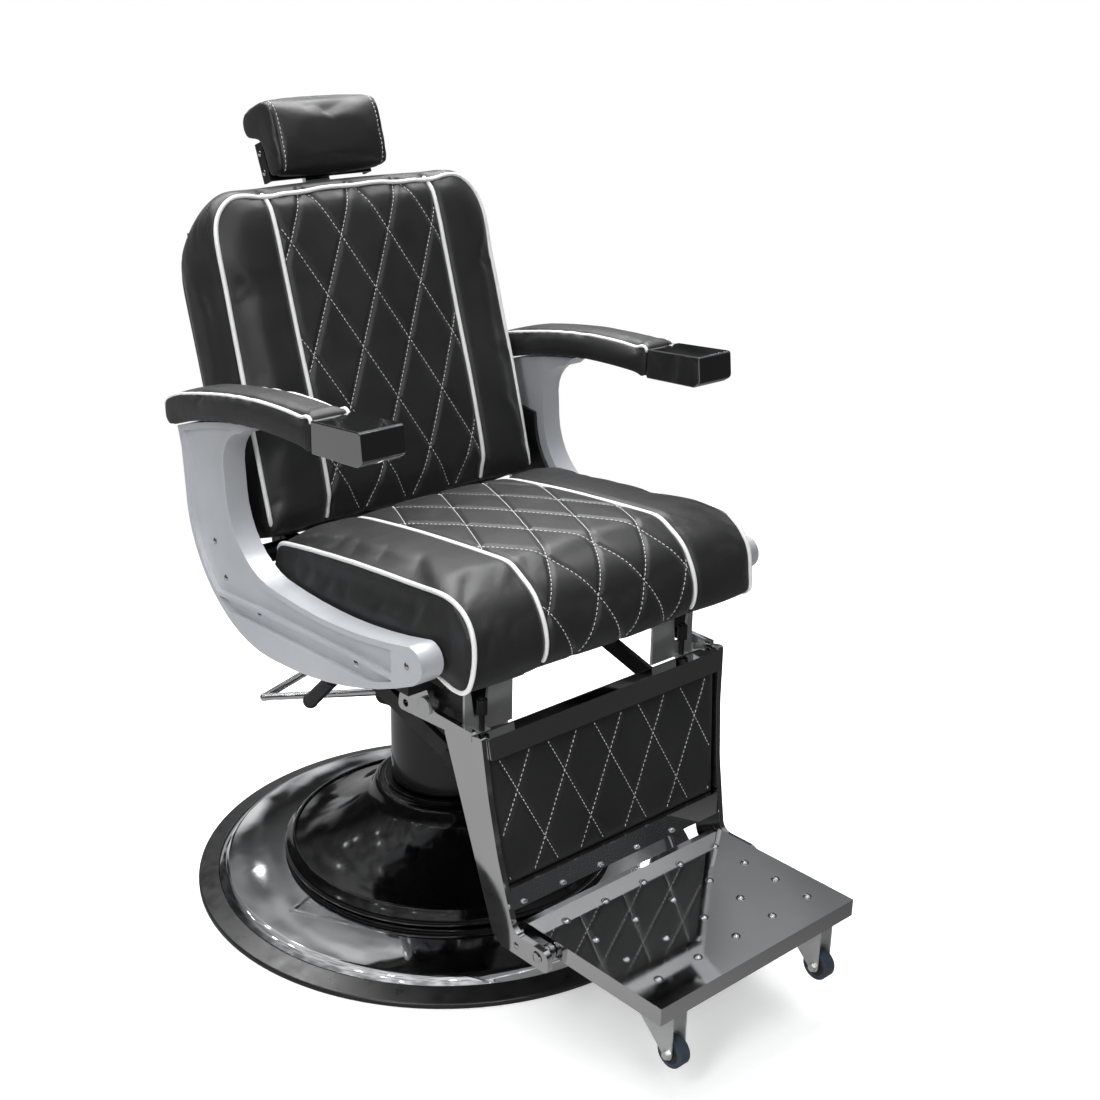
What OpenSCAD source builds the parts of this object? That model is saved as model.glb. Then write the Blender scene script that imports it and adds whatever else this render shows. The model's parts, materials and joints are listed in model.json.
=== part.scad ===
// Hydraulic barber chair: round floor base, pump column, seat with cast arms, reclining back with
// headrest, and a legrest with a flip-up footplate on two castors.
// Origin: centre of the base on the floor. The sitter faces -Y, and +X is the sitter's left.

/* [Base] */
// Diameter of the base over its rim
base_d = 720; // [700:1:740]
// Diameter of the black cone on the base
cone_d = 474; // [460:1:490]
// Diameter of the column sleeve
column_d = 166; // [160:1:170]

/* [Seat] */
// Width of the seat cushion
seat_w = 490; // [480:1:492]
// Height of the seat cushion's flat underside above the floor
seat_z = 462; // [461:1:463]
// Distance between the inner faces of the cast arms
arm_gap = 510; // [508:1:514]
// Thickness of a cast arm across the chair
arm_w = 32; // [30:1:34]
// Width of an arm pad
pad_w = 60; // [56:1:62]

/* [Back and headrest] */
// Width of the backrest
back_w = 462; // [450:1:464]
// Height of the backrest along its slope
back_h = 464; // [458:1:466]
// Thickness of the backrest
back_t = 112; // [110:1:114]
// Slope of the backrest from upright, in degrees
back_tilt = 16; // [15:0.5:16.5]
// Width of the headrest
head_w = 182; // [176:1:190]

/* [Legrest and footplate] */
// Width of the footplate
foot_w = 346; // [336:1:348]
// Length of the footplate
foot_l = 234; // [228:1:236]
// Diameter of a castor wheel
wheel_d = 38; // [34:1:40]

/* [Fits] */
// Radial running clearance of a pin in its bore
run = 0.05; // [0.02:0.01:0.09]
// Radial gap between a pressed or bolted piece and its seat
seat_gap = 0.02; // [0.01:0.01:0.05]

/* [Hidden] */

// Facets of drawn circles
$fn = 96;

// Pivots of the recline linkage, as [y, z]: back on seat, legrest on seat, and the crank from each
// of them to its end of the link bar. Equal cranks make the linkage a parallelogram.
back_pivot = [128, 492];
leg_pivot = [-215, 397];
crank = [-10, -77];
link_rear = back_pivot + crank;
link_front = leg_pivot + crank;

// Places of the plates across the chair, inner face and thickness, on the +X side
link_x = 172;
link_t = 8;
link_half = 12;
ear_x = 182;
ear_t = 6;
hanger_x = 192;
hanger_t = 6;
lug_x = 160;
lug_t = 8;
bar_x = 203;
bar_t = 8;
plate_x = 249;
plate_t = 5;
arm_x = arm_gap / 2;

// Radii of the pins at the pivots
main_pin_r = 8;
link_pin_r = 7;
foot_pin_r = 6;
small_pin_r = 5;
axle_r = 3;
open_gap = 0.5;

// Column: heights of the lift cylinder's pieces with the seat at its lowest
neck_top = 146;
barrel_r = 46;
barrel_bore_r = 38;
barrel_z = 14;
barrel_top = 345;
head_top = 412;

// Direction of the pump pedal, in degrees from +X, and the place of its pivot
pedal_angle = 108.5;
pedal_r = 94;
pedal_z = 252;
plunger_r = 63;

// Footplate pivot, castor axle and footplate levels, as [y, z]
foot_pivot = [-399, 124];
axle = [-576, 63];
tray_top = 147;
tray_low = 124;
tray_back = -356;

// Legrest panel: top and foot of its front face, as [y, z]
panel_top = [-313, 384];
panel_foot = [-337, 191];
panel_tilt = atan2(panel_top[0] - panel_foot[0], panel_top[1] - panel_foot[1]);

// Screws that hold an arm, as [y, z]: four in its recess and one in its front boss
arm_screw_spots = [[139, 523], [116, 478], [39, 451], [-168, 457]];
boss_screw = [-276, 493];

// ---- shared shapes ----

// Points along an arc about c, in degrees from the first axis
function arc(c, r, a0, a1, n = 10) =
  [for (i = [0:n]) let (a = a0 + (a1 - a0) * i / n) c + r * [cos(a), sin(a)]];

function unit(v) = v / norm(v);

// Arc that rounds corner p between its neighbours a and b
function corner(a, p, b, r, n = 6) =
  let (u = unit(a - p), v = unit(b - p), half = acos(u * v) / 2, c = p + unit(u + v) * r / sin(half),
       s = p + u * r / tan(half) - c, a0 = atan2(s[1], s[0]),
       turn = (u[0] * v[1] - u[1] * v[0] > 0 ? -1 : 1) * (180 - 2 * half))
  arc(c, r, a0, a0 + turn, n);

// Outline whose corners are rounded: points are [first, second, radius]
function rounded(pts) =
  let (n = len(pts))
  [for (i = [0:n - 1]) let (p = pts[i], a = pts[(i + n - 1) % n], b = pts[(i + 1) % n])
    each (p[2] > 0 ? corner([a[0], a[1]], [p[0], p[1]], [b[0], b[1]], p[2]) : [[p[0], p[1]]])];

// Draws an outline in [y, z] as a slab from x0 to x1
module slab(x0, x1) {
  translate([x0, 0, 0]) rotate([90, 0, 90]) linear_extrude(x1 - x0) children();
}

// Round bar along X at p = [y, z]
module bar(p, r, x0, x1) {
  translate([x0, p[0], p[1]]) rotate([0, 90, 0]) cylinder(r = r, h = x1 - x0);
}

// Round bar between two points in space
module rod(p, q, r) {
  d = q - p;
  translate(p) rotate([0, acos(d[2] / norm(d)), atan2(d[1], d[0])]) cylinder(r = r, h = norm(d));
}

// Flat strip with round ends between p and q, as an outline in [y, z]
module strip(p, q, r) {
  d = q - p;
  translate(p) circle(r = r);
  translate(q) circle(r = r);
  translate(p) rotate(atan2(d[1], d[0])) translate([0, -r]) square([norm(d), 2 * r]);
}

module tube(r1, r0, z0, z1) {
  translate([0, 0, z0]) difference() {
    cylinder(r = r1, h = z1 - z0);
    translate([0, 0, -1]) cylinder(r = r0, h = z1 - z0 + 2);
  }
}

// Box between two corners
module block(lo, hi) {
  translate(lo) cube(hi - lo);
}

// Shows its children on the +X side (1) or mirrored to the -X side (-1)
module on_side(side) {
  if (side > 0) children();
  else mirror([1, 0, 0]) children();
}

module both_sides() {
  for (side = [1, -1]) on_side(side) children();
}

// Ring of places about Z
module ring_of(count, r, start = 0) {
  for (i = [0:count - 1]) rotate([0, 0, start + i * 360 / count]) translate([r, 0, 0]) children();
}

// Domed screw head with a shank, pointing along +Z from the surface at z = 0
module screw(head_r, dome, shank_r, shank) {
  ball = (head_r * head_r + dome * dome) / (2 * dome);
  intersection() {
    translate([0, 0, dome - ball]) sphere(r = ball);
    cylinder(r = head_r, h = dome + 1);
  }
  translate([0, 0, -shank]) cylinder(r = shank_r, h = shank + dome / 2);
}

// ---- base ----

rim_r = base_d / 2;
rim_w = 34;
cone_r = cone_d / 2;
dish_r = rim_r - rim_w + 5;
base_bolt_ring = 34;

// Outer line of the cast cone, [radius, z]: double lip, hollow flank and neck
cone_line = concat(
  arc([cone_r - 8, 43.5], 8, -90, 75, 6),
  arc([cone_r - 14.5, 55], 4.5, 30, 100, 4),
  arc([cone_r + 45, 279], 230, 255, 223, 10),
  arc([98, 131], 11, 20, 110, 5)
);

module floor_ring() {
  color([0.13, 0.13, 0.14]) rotate_extrude() polygon(rounded([
    [rim_r - rim_w, 0, 0], [rim_r, 0, 1.5], [rim_r, 7, 3.5], [dish_r, 15, 1.5], [dish_r, 9.5, 0],
    [rim_r - rim_w, 9.5, 0]
  ]));
}

module base_plate() {
  plate_r = rim_r - rim_w - 0.5;
  color([0.2, 0.2, 0.22]) difference() {
    cylinder(r = plate_r, h = 9);
    ring_of(4, base_bolt_ring, 45) {
      translate([0, 0, -1]) cylinder(r = 5.5, h = 11);
      translate([0, 0, -1]) cylinder(r = 10, h = 4.5);
    }
  }
}

module chrome_dish() {
  inner_r = 200;
  color([0.86, 0.87, 0.88]) rotate_extrude() polygon([
    [inner_r, 31.5], [cone_r - 8, 31.5], [cone_r + 2, 32], [rim_r - 46.5, 20.5], [rim_r - 36, 12],
    [rim_r - 36, 9.8], [dish_r - 0.5, 9.8], [dish_r - 0.5, 14], [rim_r - 33, 17], [rim_r - 38, 21.5],
    [rim_r - 44.5, 24.2], [cone_r + 2, 35], [inner_r, 35.2]
  ]);
}

module base_cone() {
  color([0.06, 0.06, 0.07]) rotate_extrude() polygon(concat(
    [[60.2, 9.2], [72, 9.2], [72, 119], [106, 119]], arc([cone_r + 45, 279], 236, 226, 254, 6),
    [[cone_r - 22, 44], [cone_r - 22, 35.5]], cone_line, [[92, neck_top], [60.2, neck_top]]
  ));
}

module neck_bush() {
  color([0.72, 0.6, 0.35]) tube(60, barrel_r + run, 96, neck_top - 1);
}

module piston_rod() {
  color([0.78, 0.79, 0.8]) difference() {
    union() {
      translate([0, 0, 9]) cylinder(r = 45, h = 4.5);
      translate([0, 0, 13]) cylinder(r = 12, h = 205);
    }
    ring_of(4, base_bolt_ring, 45) translate([0, 0, 8]) cylinder(r = 4 + seat_gap, h = 8);
  }
}

module piston() {
  color([0.6, 0.61, 0.63]) difference() {
    translate([0, 0, 200]) cylinder(r = barrel_bore_r - run, h = 30);
    translate([0, 0, 199]) cylinder(r = 12 + seat_gap, h = 19.1);
    tube(barrel_bore_r + 1, barrel_bore_r - 4, 211, 219);
  }
}

module piston_seal() {
  color([0.1, 0.1, 0.1]) tube(barrel_bore_r - 0.01 - run / 2, barrel_bore_r - 4 + seat_gap, 211.1, 218.9);
}

module base_bolts() {
  color([0.7, 0.7, 0.72]) ring_of(4, base_bolt_ring, 45) {
    translate([0, 0, 0.5]) cylinder(r = 8, h = 2.9);
    translate([0, 0, 0.5]) cylinder(r = 4, h = 12.8);
  }
}

// ---- lift cylinder ----

module cylinder_barrel() {
  color([0.8, 0.81, 0.82]) {
    difference() {
      union() {
        translate([0, 0, barrel_z]) cylinder(r = barrel_r, h = barrel_top - barrel_z);
        translate([0, 0, barrel_top - 1]) cylinder(r = 30, h = 46);
      }
      translate([0, 0, 32]) cylinder(r = barrel_bore_r, h = barrel_top - 52);
      translate([0, 0, barrel_z - 1]) cylinder(r = 34, h = 20);
    }
  }
}

module gland_nut() {
  color([0.65, 0.6, 0.45]) difference() {
    translate([0, 0, barrel_z + 0.5]) cylinder(r = 34 - seat_gap, h = 17);
    translate([0, 0, barrel_z]) cylinder(r = 12 + run, h = 20);
    translate([0, 0, barrel_z + 6]) cylinder(r = 16, h = 6);
  }
}

module rod_seal() {
  color([0.1, 0.1, 0.1]) tube(16 - seat_gap, 12 + run / 2, barrel_z + 6.1, barrel_z + 11.9);
}

// ---- turret: what turns on the cylinder and carries the seat ----

module thrust_bearing() {
  color([0.75, 0.76, 0.78]) tube(44, 30 + run, barrel_top + 0.1, barrel_top + 8);
}

// Bolts that hold the seat frame on the pump head
module at_frame_bolts() {
  ring_of(4, 56, 45) children();
}

module pump_head() {
  color([0.12, 0.12, 0.13]) difference() {
    union() {
      translate([0, 0, barrel_top + 8.2]) cylinder(r = 76, h = head_top - barrel_top - 8.2);
      rotate([0, 0, pedal_angle]) difference() {
        block([50, -18, 272], [75, 18, barrel_top + 9]);
        translate([0, 0, 270]) cylinder(r = barrel_r + 2, h = 90);
      }
    }
    translate([0, 0, barrel_top]) cylinder(r = 30 + run, h = 48);
    rotate([0, 0, pedal_angle]) translate([plunger_r, 0, 270]) cylinder(r = 6 + run, h = 45);
    at_frame_bolts() translate([0, 0, head_top - 24]) cylinder(r = 5 + seat_gap, h = 30);
  }
}

module column_sleeve() {
  sleeve_r = column_d / 2;
  color([0.08, 0.08, 0.09]) difference() {
    tube(sleeve_r, sleeve_r - 5, neck_top + 2, head_top - 2);
    rotate([0, 0, pedal_angle]) block([60, -20, 232], [100, 20, 270]);
  }
}

// Side plate that backs a cast arm, with the bores of the back pivot, the lever pivot and the screws
module side_plate() {
  slab(plate_x, plate_x + plate_t) difference() {
    polygon(concat(
      arc([14, 583], 166, 12, -90, 10), arc([14, 1093], 676, -92, -115, 6),
      [[-276, 508]], arc([-95, 1297], 814, -102, -86, 6), arc([-12, 609], 121.5, -88, 0, 8)
    ));
    for (p = concat(arm_screw_spots, [boss_screw])) translate(p) circle(r = screw_r + seat_gap);
    translate(back_pivot) circle(r = main_pin_r + seat_gap);
    translate(lever_pivot) circle(r = small_pin_r + seat_gap);
  }
}

// Plate under the seat that carries the legrest pivot, with an arm forward to the stop plate
module leg_hanger() {
  slab(hanger_x, hanger_x + hanger_t) difference() {
    union() {
      strip(leg_pivot, [-221, 437], 14.5);
      polygon([[stop_y + stop_t, 400], [-221, 400], [-221, 450], [stop_y + stop_t, 450]]);
    }
    translate(leg_pivot) circle(r = main_pin_r + seat_gap);
  }
}

module seat_frame() {
  cross_z = 430;
  top = seat_z - 10;
  color([0.1, 0.1, 0.11]) difference() {
    union() {
      both_sides() {
        block([100, stop_y + stop_t, 424], [130, 66, top]);
        side_plate();
        leg_hanger();
        block([129, -236, cross_z], [plate_x + 1, -206, top]);
        block([plate_x, -236, cross_z], [plate_x + plate_t, -206, 470]);
      }
      block([-plate_x - 1, -80, cross_z], [plate_x + 1, -52, top]);
      block([-200, stop_y + stop_t, 444], [200, -255, top]);
      block([-101, -90, head_top], [101, 66, 425]);
    }
    at_frame_bolts() translate([0, 0, head_top - 1]) cylinder(r = 5 + seat_gap, h = 30);
  }
}

module frame_bolts() {
  color([0.7, 0.7, 0.72]) at_frame_bolts() {
    translate([0, 0, head_top - 20]) cylinder(r = 5, h = 34);
    translate([0, 0, 425.1]) cylinder(r = 9, h = 6, $fn = 6);
  }
}

module seat_board() {
  color([0.65, 0.5, 0.33]) block([-238, -282, seat_z - 10], [238, 64, seat_z]);
}

// Side outline of the seat cushion, [y, z, corner radius]
seat_outline = [
  [75, seat_z, 8], [-296, seat_z, 0], [-318, seat_z - 5, 8], [-336, seat_z + 2, 10], [-347, 510, 30],
  [-340, 560, 26], [-296, 580, 30], [-200, 574, 0], [-80, 562, 0], [75, 531, 16]
];

module seat_cushion() {
  color([0.15, 0.15, 0.16]) slab(-seat_w / 2, seat_w / 2) polygon(rounded(seat_outline));
}

// ---- arms ----

// Arm pads follow two arcs about one centre
pad_centre = [-70, -143];
pad_low_r = 854.5;
pad_high_r = 898;

screw_r = 3;
recess_t = 7;

// Closed outline of a cast arm, drawn in by d from its edge. Its top follows the underside of the pad
function arm_outline(d) = concat(
  [[199 - d, 640 - d]],
  arc([14, 583], 180 - d, 0, -90, 14),
  arc([14, 1093], 690 - d, -92, -116, 8),
  arc([-282, 497], 22 - d, -125, -268, 8),
  arc([-95, 1297], 800 + d, -103, -85.5, 7),
  arc([-12, 609], 107.5 + d, -88, -5, 9),
  arc([48, 640], 50 + d, 0, d > 0 ? 55 : 84, 6),
  arc(pad_centre, pad_low_r - 0.3 - d, d > 0 ? 79.7 : 83, d > 0 ? 71.65 : 71.16, 5)
);

// Recess in an arm's outer face: two bands either side of a long rib, above a full lower lip
module arm_recess() {
  rib = [[133, 454.5], [30, 461], [-72, 465.5], [-160, 468], [-250, 467.5]];
  half_rib = 2.6;
  difference() {
    polygon(arm_outline(8));
    polygon(concat(
      [for (p = rib) p + [0, half_rib]], [for (i = [len(rib) - 1:-1:0]) rib[i] - [0, half_rib]]
    ));
    polygon([[200, 434], [95, 437.4], [-198, 446.3], [-320, 450], [-320, 380], [200, 380]]);
    translate([-346, 380]) square([100, 180]);
  }
}

module arm(side) {
  face = arm_x + arm_w;
  color([0.72, 0.73, 0.75]) on_side(side) difference() {
    slab(arm_x, face) polygon(arm_outline(0));
    slab(face - recess_t, face + 1) arm_recess();
    for (p = concat(arm_screw_spots, [boss_screw])) bar(p, screw_r + seat_gap, arm_x - 1, face + 2);
  }
}

module arm_left() {
  arm(1);
}

module arm_right() {
  arm(-1);
}

module arm_pad(side) {
  inner = arm_x + arm_w / 2 - pad_w / 2 + 2;
  color([0.15, 0.15, 0.16]) on_side(side) slab(inner, inner + pad_w) polygon(concat(
    arc(pad_centre, pad_low_r, 93.4, 71.6, 12),
    arc(pad_centre + 876 * [cos(71.5), sin(71.5)], 16, -10, 60, 4),
    arc(pad_centre, pad_high_r, 72.6, 93.3, 12)
  ));
}

module arm_pad_left() {
  arm_pad(1);
}

module arm_pad_right() {
  arm_pad(-1);
}

module arm_cap(side) {
  inner = arm_x + arm_w / 2 - pad_w / 2 + 1;
  color([0.8, 0.81, 0.83]) on_side(side) slab(inner, inner + pad_w + 2) polygon(rounded([
    [-123, 711, 2], [-123, 751, 2], [-218, 759, 4], [-222, 724, 8], [-210, 716, 6]
  ]));
}

module arm_cap_left() {
  arm_cap(1);
}

module arm_cap_right() {
  arm_cap(-1);
}

module at_arm_screw(p, x) {
  translate([x, p[0], p[1]]) rotate([0, 90, 0]) children();
}

module arm_screws() {
  face = arm_x + arm_w;
  floor = face - recess_t;
  color([0.85, 0.86, 0.87]) both_sides() {
    for (p = arm_screw_spots) at_arm_screw(p, floor) screw(5, 2.6, screw_r, floor - plate_x);
    at_arm_screw(boss_screw, face) screw(5, 2.6, screw_r, face - plate_x);
  }
}

// Pins fixed in the seat frame that the back, the legrest and the recline lever turn on
lever_pivot = [-120, 442];

module hinge_pins() {
  color([0.6, 0.61, 0.63]) {
    both_sides() {
      bar(back_pivot, main_pin_r, 226, plate_x + plate_t);
      bar(leg_pivot, main_pin_r, hanger_x - 2, bar_x + bar_t + 3);
      bar(leg_pivot, main_pin_r + 4, bar_x + bar_t + 0.6, bar_x + bar_t + 5);
    }
    on_side(-1) bar(lever_pivot, small_pin_r, 232, plate_x + plate_t);
  }
}

// Stop plates that hang at the front corners of the seat frame: each has a notch and a foot for a bumper
stop_y = -272;
stop_t = 4;
stop_foot_z = 372;
stop_edge = 197.5;
bumper_x = 174;
bumper_y = -276;
bumper_bolt_r = 3.5;

module stop_brackets() {
  color([0.75, 0.76, 0.78]) both_sides() difference() {
    union() {
      translate([0, stop_y + stop_t, 0]) rotate([90, 0, 0]) linear_extrude(stop_t) polygon([
        [122, stop_foot_z], [stop_edge, stop_foot_z], [stop_edge, 450], [192, 450], [183, 394], [165, 394],
        [158, 450], [122, 450]
      ]);
      block([163, -284, stop_foot_z], [185, stop_y + 1, stop_foot_z + 3]);
    }
    translate([bumper_x, bumper_y, stop_foot_z - 1]) cylinder(r = bumper_bolt_r + seat_gap, h = 6);
  }
}

module stop_bumpers() {
  color([0.08, 0.08, 0.08]) both_sides() translate([bumper_x, bumper_y, 0]) {
    translate([0, 0, 366]) cylinder(r = bumper_bolt_r, h = 40);
    translate([0, 0, 366]) cylinder(r = 6, h = 5.5);
    translate([0, 0, 397]) cylinder(r = 6.5, h = 20);
    translate([0, 0, 416]) cylinder(r = 4, h = 4);
  }
}

// ---- pump ----

pedal_reach = 263;
pedal_drop = 22;
pedal_half_w = 85;
pedal_rod_r = 5.5;

module at_pedal() {
  rotate([0, 0, pedal_angle]) children();
}

module pedal_bracket() {
  color([0.12, 0.12, 0.13]) at_pedal() difference() {
    union() {
      for (s = [1, -1]) translate([0, s * 29, 0]) rotate([90, 0, 0]) translate([0, 0, -3])
        linear_extrude(6) union() {
          translate([pedal_r, pedal_z]) circle(r = 11);
          translate([70, pedal_z - 11]) square([pedal_r - 70, 22]);
        }
      translate([pedal_r, 31, pedal_z]) rotate([90, 0, 0]) cylinder(r = 6, h = 62);
    }
    cylinder(r = column_d / 2 + 0.1, h = 500);
  }
}

module pump_pedal() {
  corner_z = pedal_z - pedal_drop;
  color([0.86, 0.87, 0.88]) at_pedal() difference() {
    union() {
      translate([pedal_r, 23, pedal_z]) rotate([90, 0, 0]) cylinder(r = 11, h = 46);
      block([plunger_r - 1, -7, pedal_z - 5], [pedal_r, 7, pedal_z + 5]);
      for (s = [1, -1]) {
        rod([pedal_r + 6, s * 16, pedal_z], [pedal_reach, s * pedal_half_w, corner_z], pedal_rod_r);
        translate([pedal_reach, s * pedal_half_w, corner_z]) sphere(r = pedal_rod_r + 0.6);
      }
      rod([pedal_reach, -pedal_half_w, corner_z], [pedal_reach, pedal_half_w, corner_z], pedal_rod_r);
    }
    translate([pedal_r, 30, pedal_z]) rotate([90, 0, 0]) cylinder(r = 6 + run, h = 60);
  }
}

module pump_plunger() {
  color([0.7, 0.71, 0.73]) at_pedal() translate([plunger_r, 0, pedal_z + 5.5]) {
    cylinder(r = 6, h = 40);
    cylinder(r = 8, h = 3);
  }
}

// ---- recline lever, on the sitter's right ----

lever_x = 240;
lever_rod_r = 4.5;
lever_end = [-22, 347];
lever_way = unit(lever_end - lever_pivot);
grip_near = lever_pivot + 83 * lever_way;
grip_far = lever_pivot + 153 * lever_way;

// Puts a [y, z] place in the lever's plane into space
function on_lever(p) = [lever_x, p[0], p[1]];

module lever_rod() {
  color([0.75, 0.76, 0.78]) on_side(-1) difference() {
    union() {
      bar(lever_pivot, 9, lever_x - 5, lever_x + 5);
      rod(on_lever(lever_pivot), on_lever(lever_end), lever_rod_r);
    }
    bar(lever_pivot, small_pin_r + run, lever_x - 20, lever_x + 20);
  }
}

module lever_grip() {
  color([0.1, 0.1, 0.1]) on_side(-1) difference() {
    union() {
      rod(on_lever(grip_near), on_lever(grip_far), 9.5);
      translate(on_lever(grip_far)) sphere(r = 10.2);
    }
    rod(on_lever(lever_pivot), on_lever(lever_end + lever_way), lever_rod_r + seat_gap);
  }
}

// ---- backrest ----

back_foot = [83.7, 539];
back_low = -16;

// Puts [t, s] outlines on the sloping back: t into the back from its front face, s up along it
module on_back() {
  translate([0, back_foot[0], back_foot[1]]) rotate([-back_tilt, 0, 0]) children();
}

pocket_w = 410;
pocket_t = 60;
pocket_top = 400;
board_t = 12;
frame_t = 20;
post_t = 88;
post_w = 40;
post_d = 8;

module back_cushion() {
  top = back_low + back_h;
  color([0.15, 0.15, 0.16]) on_back() difference() {
    intersection() {
      slab(-back_w / 2, back_w / 2) polygon(rounded([
        [0, back_low, 8], [0, top, 16], [back_t - 30, top - 3, 24], [back_t, top - 40, 36],
        [back_t, back_low, 8]
      ]));
      translate([0, back_t + 1, 0]) rotate([90, 0, 0]) linear_extrude(back_t + 2) polygon(rounded([
        [-back_w / 2, back_low - 1, 2], [back_w / 2, back_low - 1, 2], [back_w / 2, top + 1, 58],
        [-back_w / 2, top + 1, 58]
      ]));
    }
    block([-pocket_w / 2, pocket_t, back_low - 10], [pocket_w / 2, back_t + 10, pocket_top]);
    block([-post_w / 2 - 4, post_t - 8, 300], [post_w / 2 + 4, post_t + 8, top + 10]);
  }
}

module back_board() {
  color([0.65, 0.5, 0.33]) on_back()
    block([-pocket_w / 2 + 1, pocket_t + 0.2, back_low + 4],
      [pocket_w / 2 - 1, pocket_t + board_t, pocket_top - 2]);
}

module back_cover() {
  color([0.14, 0.14, 0.15]) on_back()
    block([-pocket_w / 2 + 1, pocket_t + board_t + frame_t + 5, back_low + 1],
      [pocket_w / 2 - 1, back_t, pocket_top - 2]);
}

// Ear that joins the pivot tube to the link bar
module back_ear() {
  slab(ear_x, ear_x + ear_t) strip(back_pivot, link_rear, link_half);
}

module back_frame() {
  t0 = pocket_t + board_t + 0.2;
  color([0.1, 0.1, 0.11]) {
    difference() {
      union() {
        bar(back_pivot, 13, -244, 244);
        both_sides() {
          back_ear();
          bar(link_rear, link_pin_r, link_x - 2, ear_x + 1);
          bar(link_rear, link_pin_r + 4, link_x - 6, link_x - 2);
        }
        on_back() both_sides() block([150, t0, -45], [175, t0 + frame_t, 380]);
        both_sides() slab(151, 174) strip(back_pivot, back_pivot + [30, 0], 12);
        on_back() block([-160, t0, 25], [160, t0 + frame_t, 45]);
        on_back() block([-160, t0, 350], [160, t0 + frame_t, 370]);
      }
      both_sides() bar(back_pivot, main_pin_r + run, 224, 250);
      on_back() block([-post_w / 2 - 3.1, t0 - 1, 45], [post_w / 2 + 3.1, t0 + frame_t + 1, 400]);
    }
  }
}

module headrest_socket() {
  color([0.3, 0.3, 0.32]) on_back() difference() {
    block([-post_w / 2 - 3, post_t - 7, 45], [post_w / 2 + 3, post_t + 7, 392]);
    block([-post_w / 2 - 0.06, post_t - post_d / 2 - 0.06, 60],
      [post_w / 2 + 0.06, post_t + post_d / 2 + 0.06, 400]);
  }
}

// ---- headrest ----

head_foot = [227.5, 940];
head_tilt = 22;
tilt_s = 480;
tilt_pivot = back_foot
  + tilt_s * [sin(back_tilt), cos(back_tilt)]
  + post_t * [cos(back_tilt), -sin(back_tilt)];

module on_head() {
  translate([0, head_foot[0], head_foot[1]]) rotate([-head_tilt, 0, 0]) children();
}

module headrest_post() {
  color([0.78, 0.79, 0.8]) difference() {
    union() {
      on_back() block([-post_w / 2, post_t - post_d / 2, 190], [post_w / 2, post_t + post_d / 2, tilt_s - 6]);
      bar(tilt_pivot, 9, -post_w / 2 + 1, post_w / 2 - 1);
    }
    bar(tilt_pivot, small_pin_r + run, -60, 60);
  }
}

module headrest_bracket() {
  color([0.07, 0.07, 0.08]) {
    difference() {
      on_head() union() {
        block([-84, 41, 30], [84, 44.5, 84]);
        both_sides() block([80, 41, 30], [84, 58, 84]);
        both_sides() block([22, 41, 50], [27, 63, 76]);
      }
      on_head() both_sides() for (s = [44, 70]) bar([51, s], 2 + seat_gap, 70, 90);
    }
    bar(tilt_pivot, small_pin_r, -27, 27);
  }
}

module headrest_pad() {
  color([0.15, 0.15, 0.16]) on_head() slab(-head_w / 2, head_w / 2) polygon(rounded([
    [-1, 34, 6], [-8, 130, 26], [70, 134, 24], [68, 90, 14], [40, 86, 3], [40, 26, 5]
  ]));
}

module headrest_screws() {
  color([0.8, 0.81, 0.82]) on_head() both_sides() for (s = [44, 70])
    translate([84.1, 51, s]) rotate([0, 90, 0]) screw(4.5, 2, 2, 5);
}

// ---- legrest ----

// Plate at the top of a side bar, from the bend back to a rounded tip with a hole
module bar_head() {
  slab(bar_x, bar_x + bar_t) difference() {
    polygon(rounded([
      [-158, 373, 7], [-162, 396, 9], [-186, 404, 6], [-198, 428, 6], [-211, 428, 4], [-229, 394, 12],
      [-300, 393, 0], [-300, 380, 0]
    ]));
    translate([-174, 385]) circle(r = 5);
    translate(leg_pivot) circle(r = main_pin_r + run);
  }
}

// Lower part of a side bar: leans in towards the foot, then bends forward to the footplate pivot
bar_lean = 4.6;
bar_knee_z = 396;

module on_lean() {
  translate([bar_x, 0, bar_knee_z]) rotate([0, bar_lean, 0]) translate([0, 0, -bar_knee_z]) children();
}

module bar_leg() {
  on_lean() slab(0, bar_t) difference() {
    polygon(rounded([
      [-247, 378, 4], [-318, 393, 5], [-324, 315, 400], [-335, 235, 400], [-357, 137, 16], [-418, 137, 10],
      [-418, 106, 10], [-319, 105, 26]
    ]));
    translate(foot_pivot) circle(r = foot_pin_r + 1);
  }
}

// Lug inside a side bar: a cross tube, a plate, and the pin that the link bar turns on
lug_root = [-278, link_front[1]];

module link_lug() {
  bar(lug_root, 8.5, lug_x + 2, inside_bar(lug_root[1]) + 4);
  slab(lug_x, lug_x + lug_t) strip(link_front, lug_root, 11);
  bar(link_front, link_pin_r, lug_x + 2, link_x + link_t + 3);
  bar(link_front, link_pin_r + 4, link_x + link_t + 2, link_x + link_t + 6);
}

// Place across the chair of a side bar's inner face at a height
function inside_bar(z) = bar_x - (bar_knee_z - z) * tan(bar_lean);

module side_bar(side) {
  color([0.8, 0.81, 0.83]) on_side(side) {
    bar_head();
    bar_leg();
    link_lug();
  }
}

module side_bar_left() {
  side_bar(1);
}

module side_bar_right() {
  side_bar(-1);
}

// Puts [t, s] outlines on the legrest: t back from the panel's front face, s up from its foot
module on_leg() {
  translate([0, panel_foot[0], panel_foot[1]]) rotate([-panel_tilt, 0, 0]) children();
}

panel_h = norm(panel_top - panel_foot);

// Half width between the side bars at a height up the panel
function leg_half(s) = inside_bar(panel_foot[1] + s * cos(panel_tilt)) - 0.5;

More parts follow.
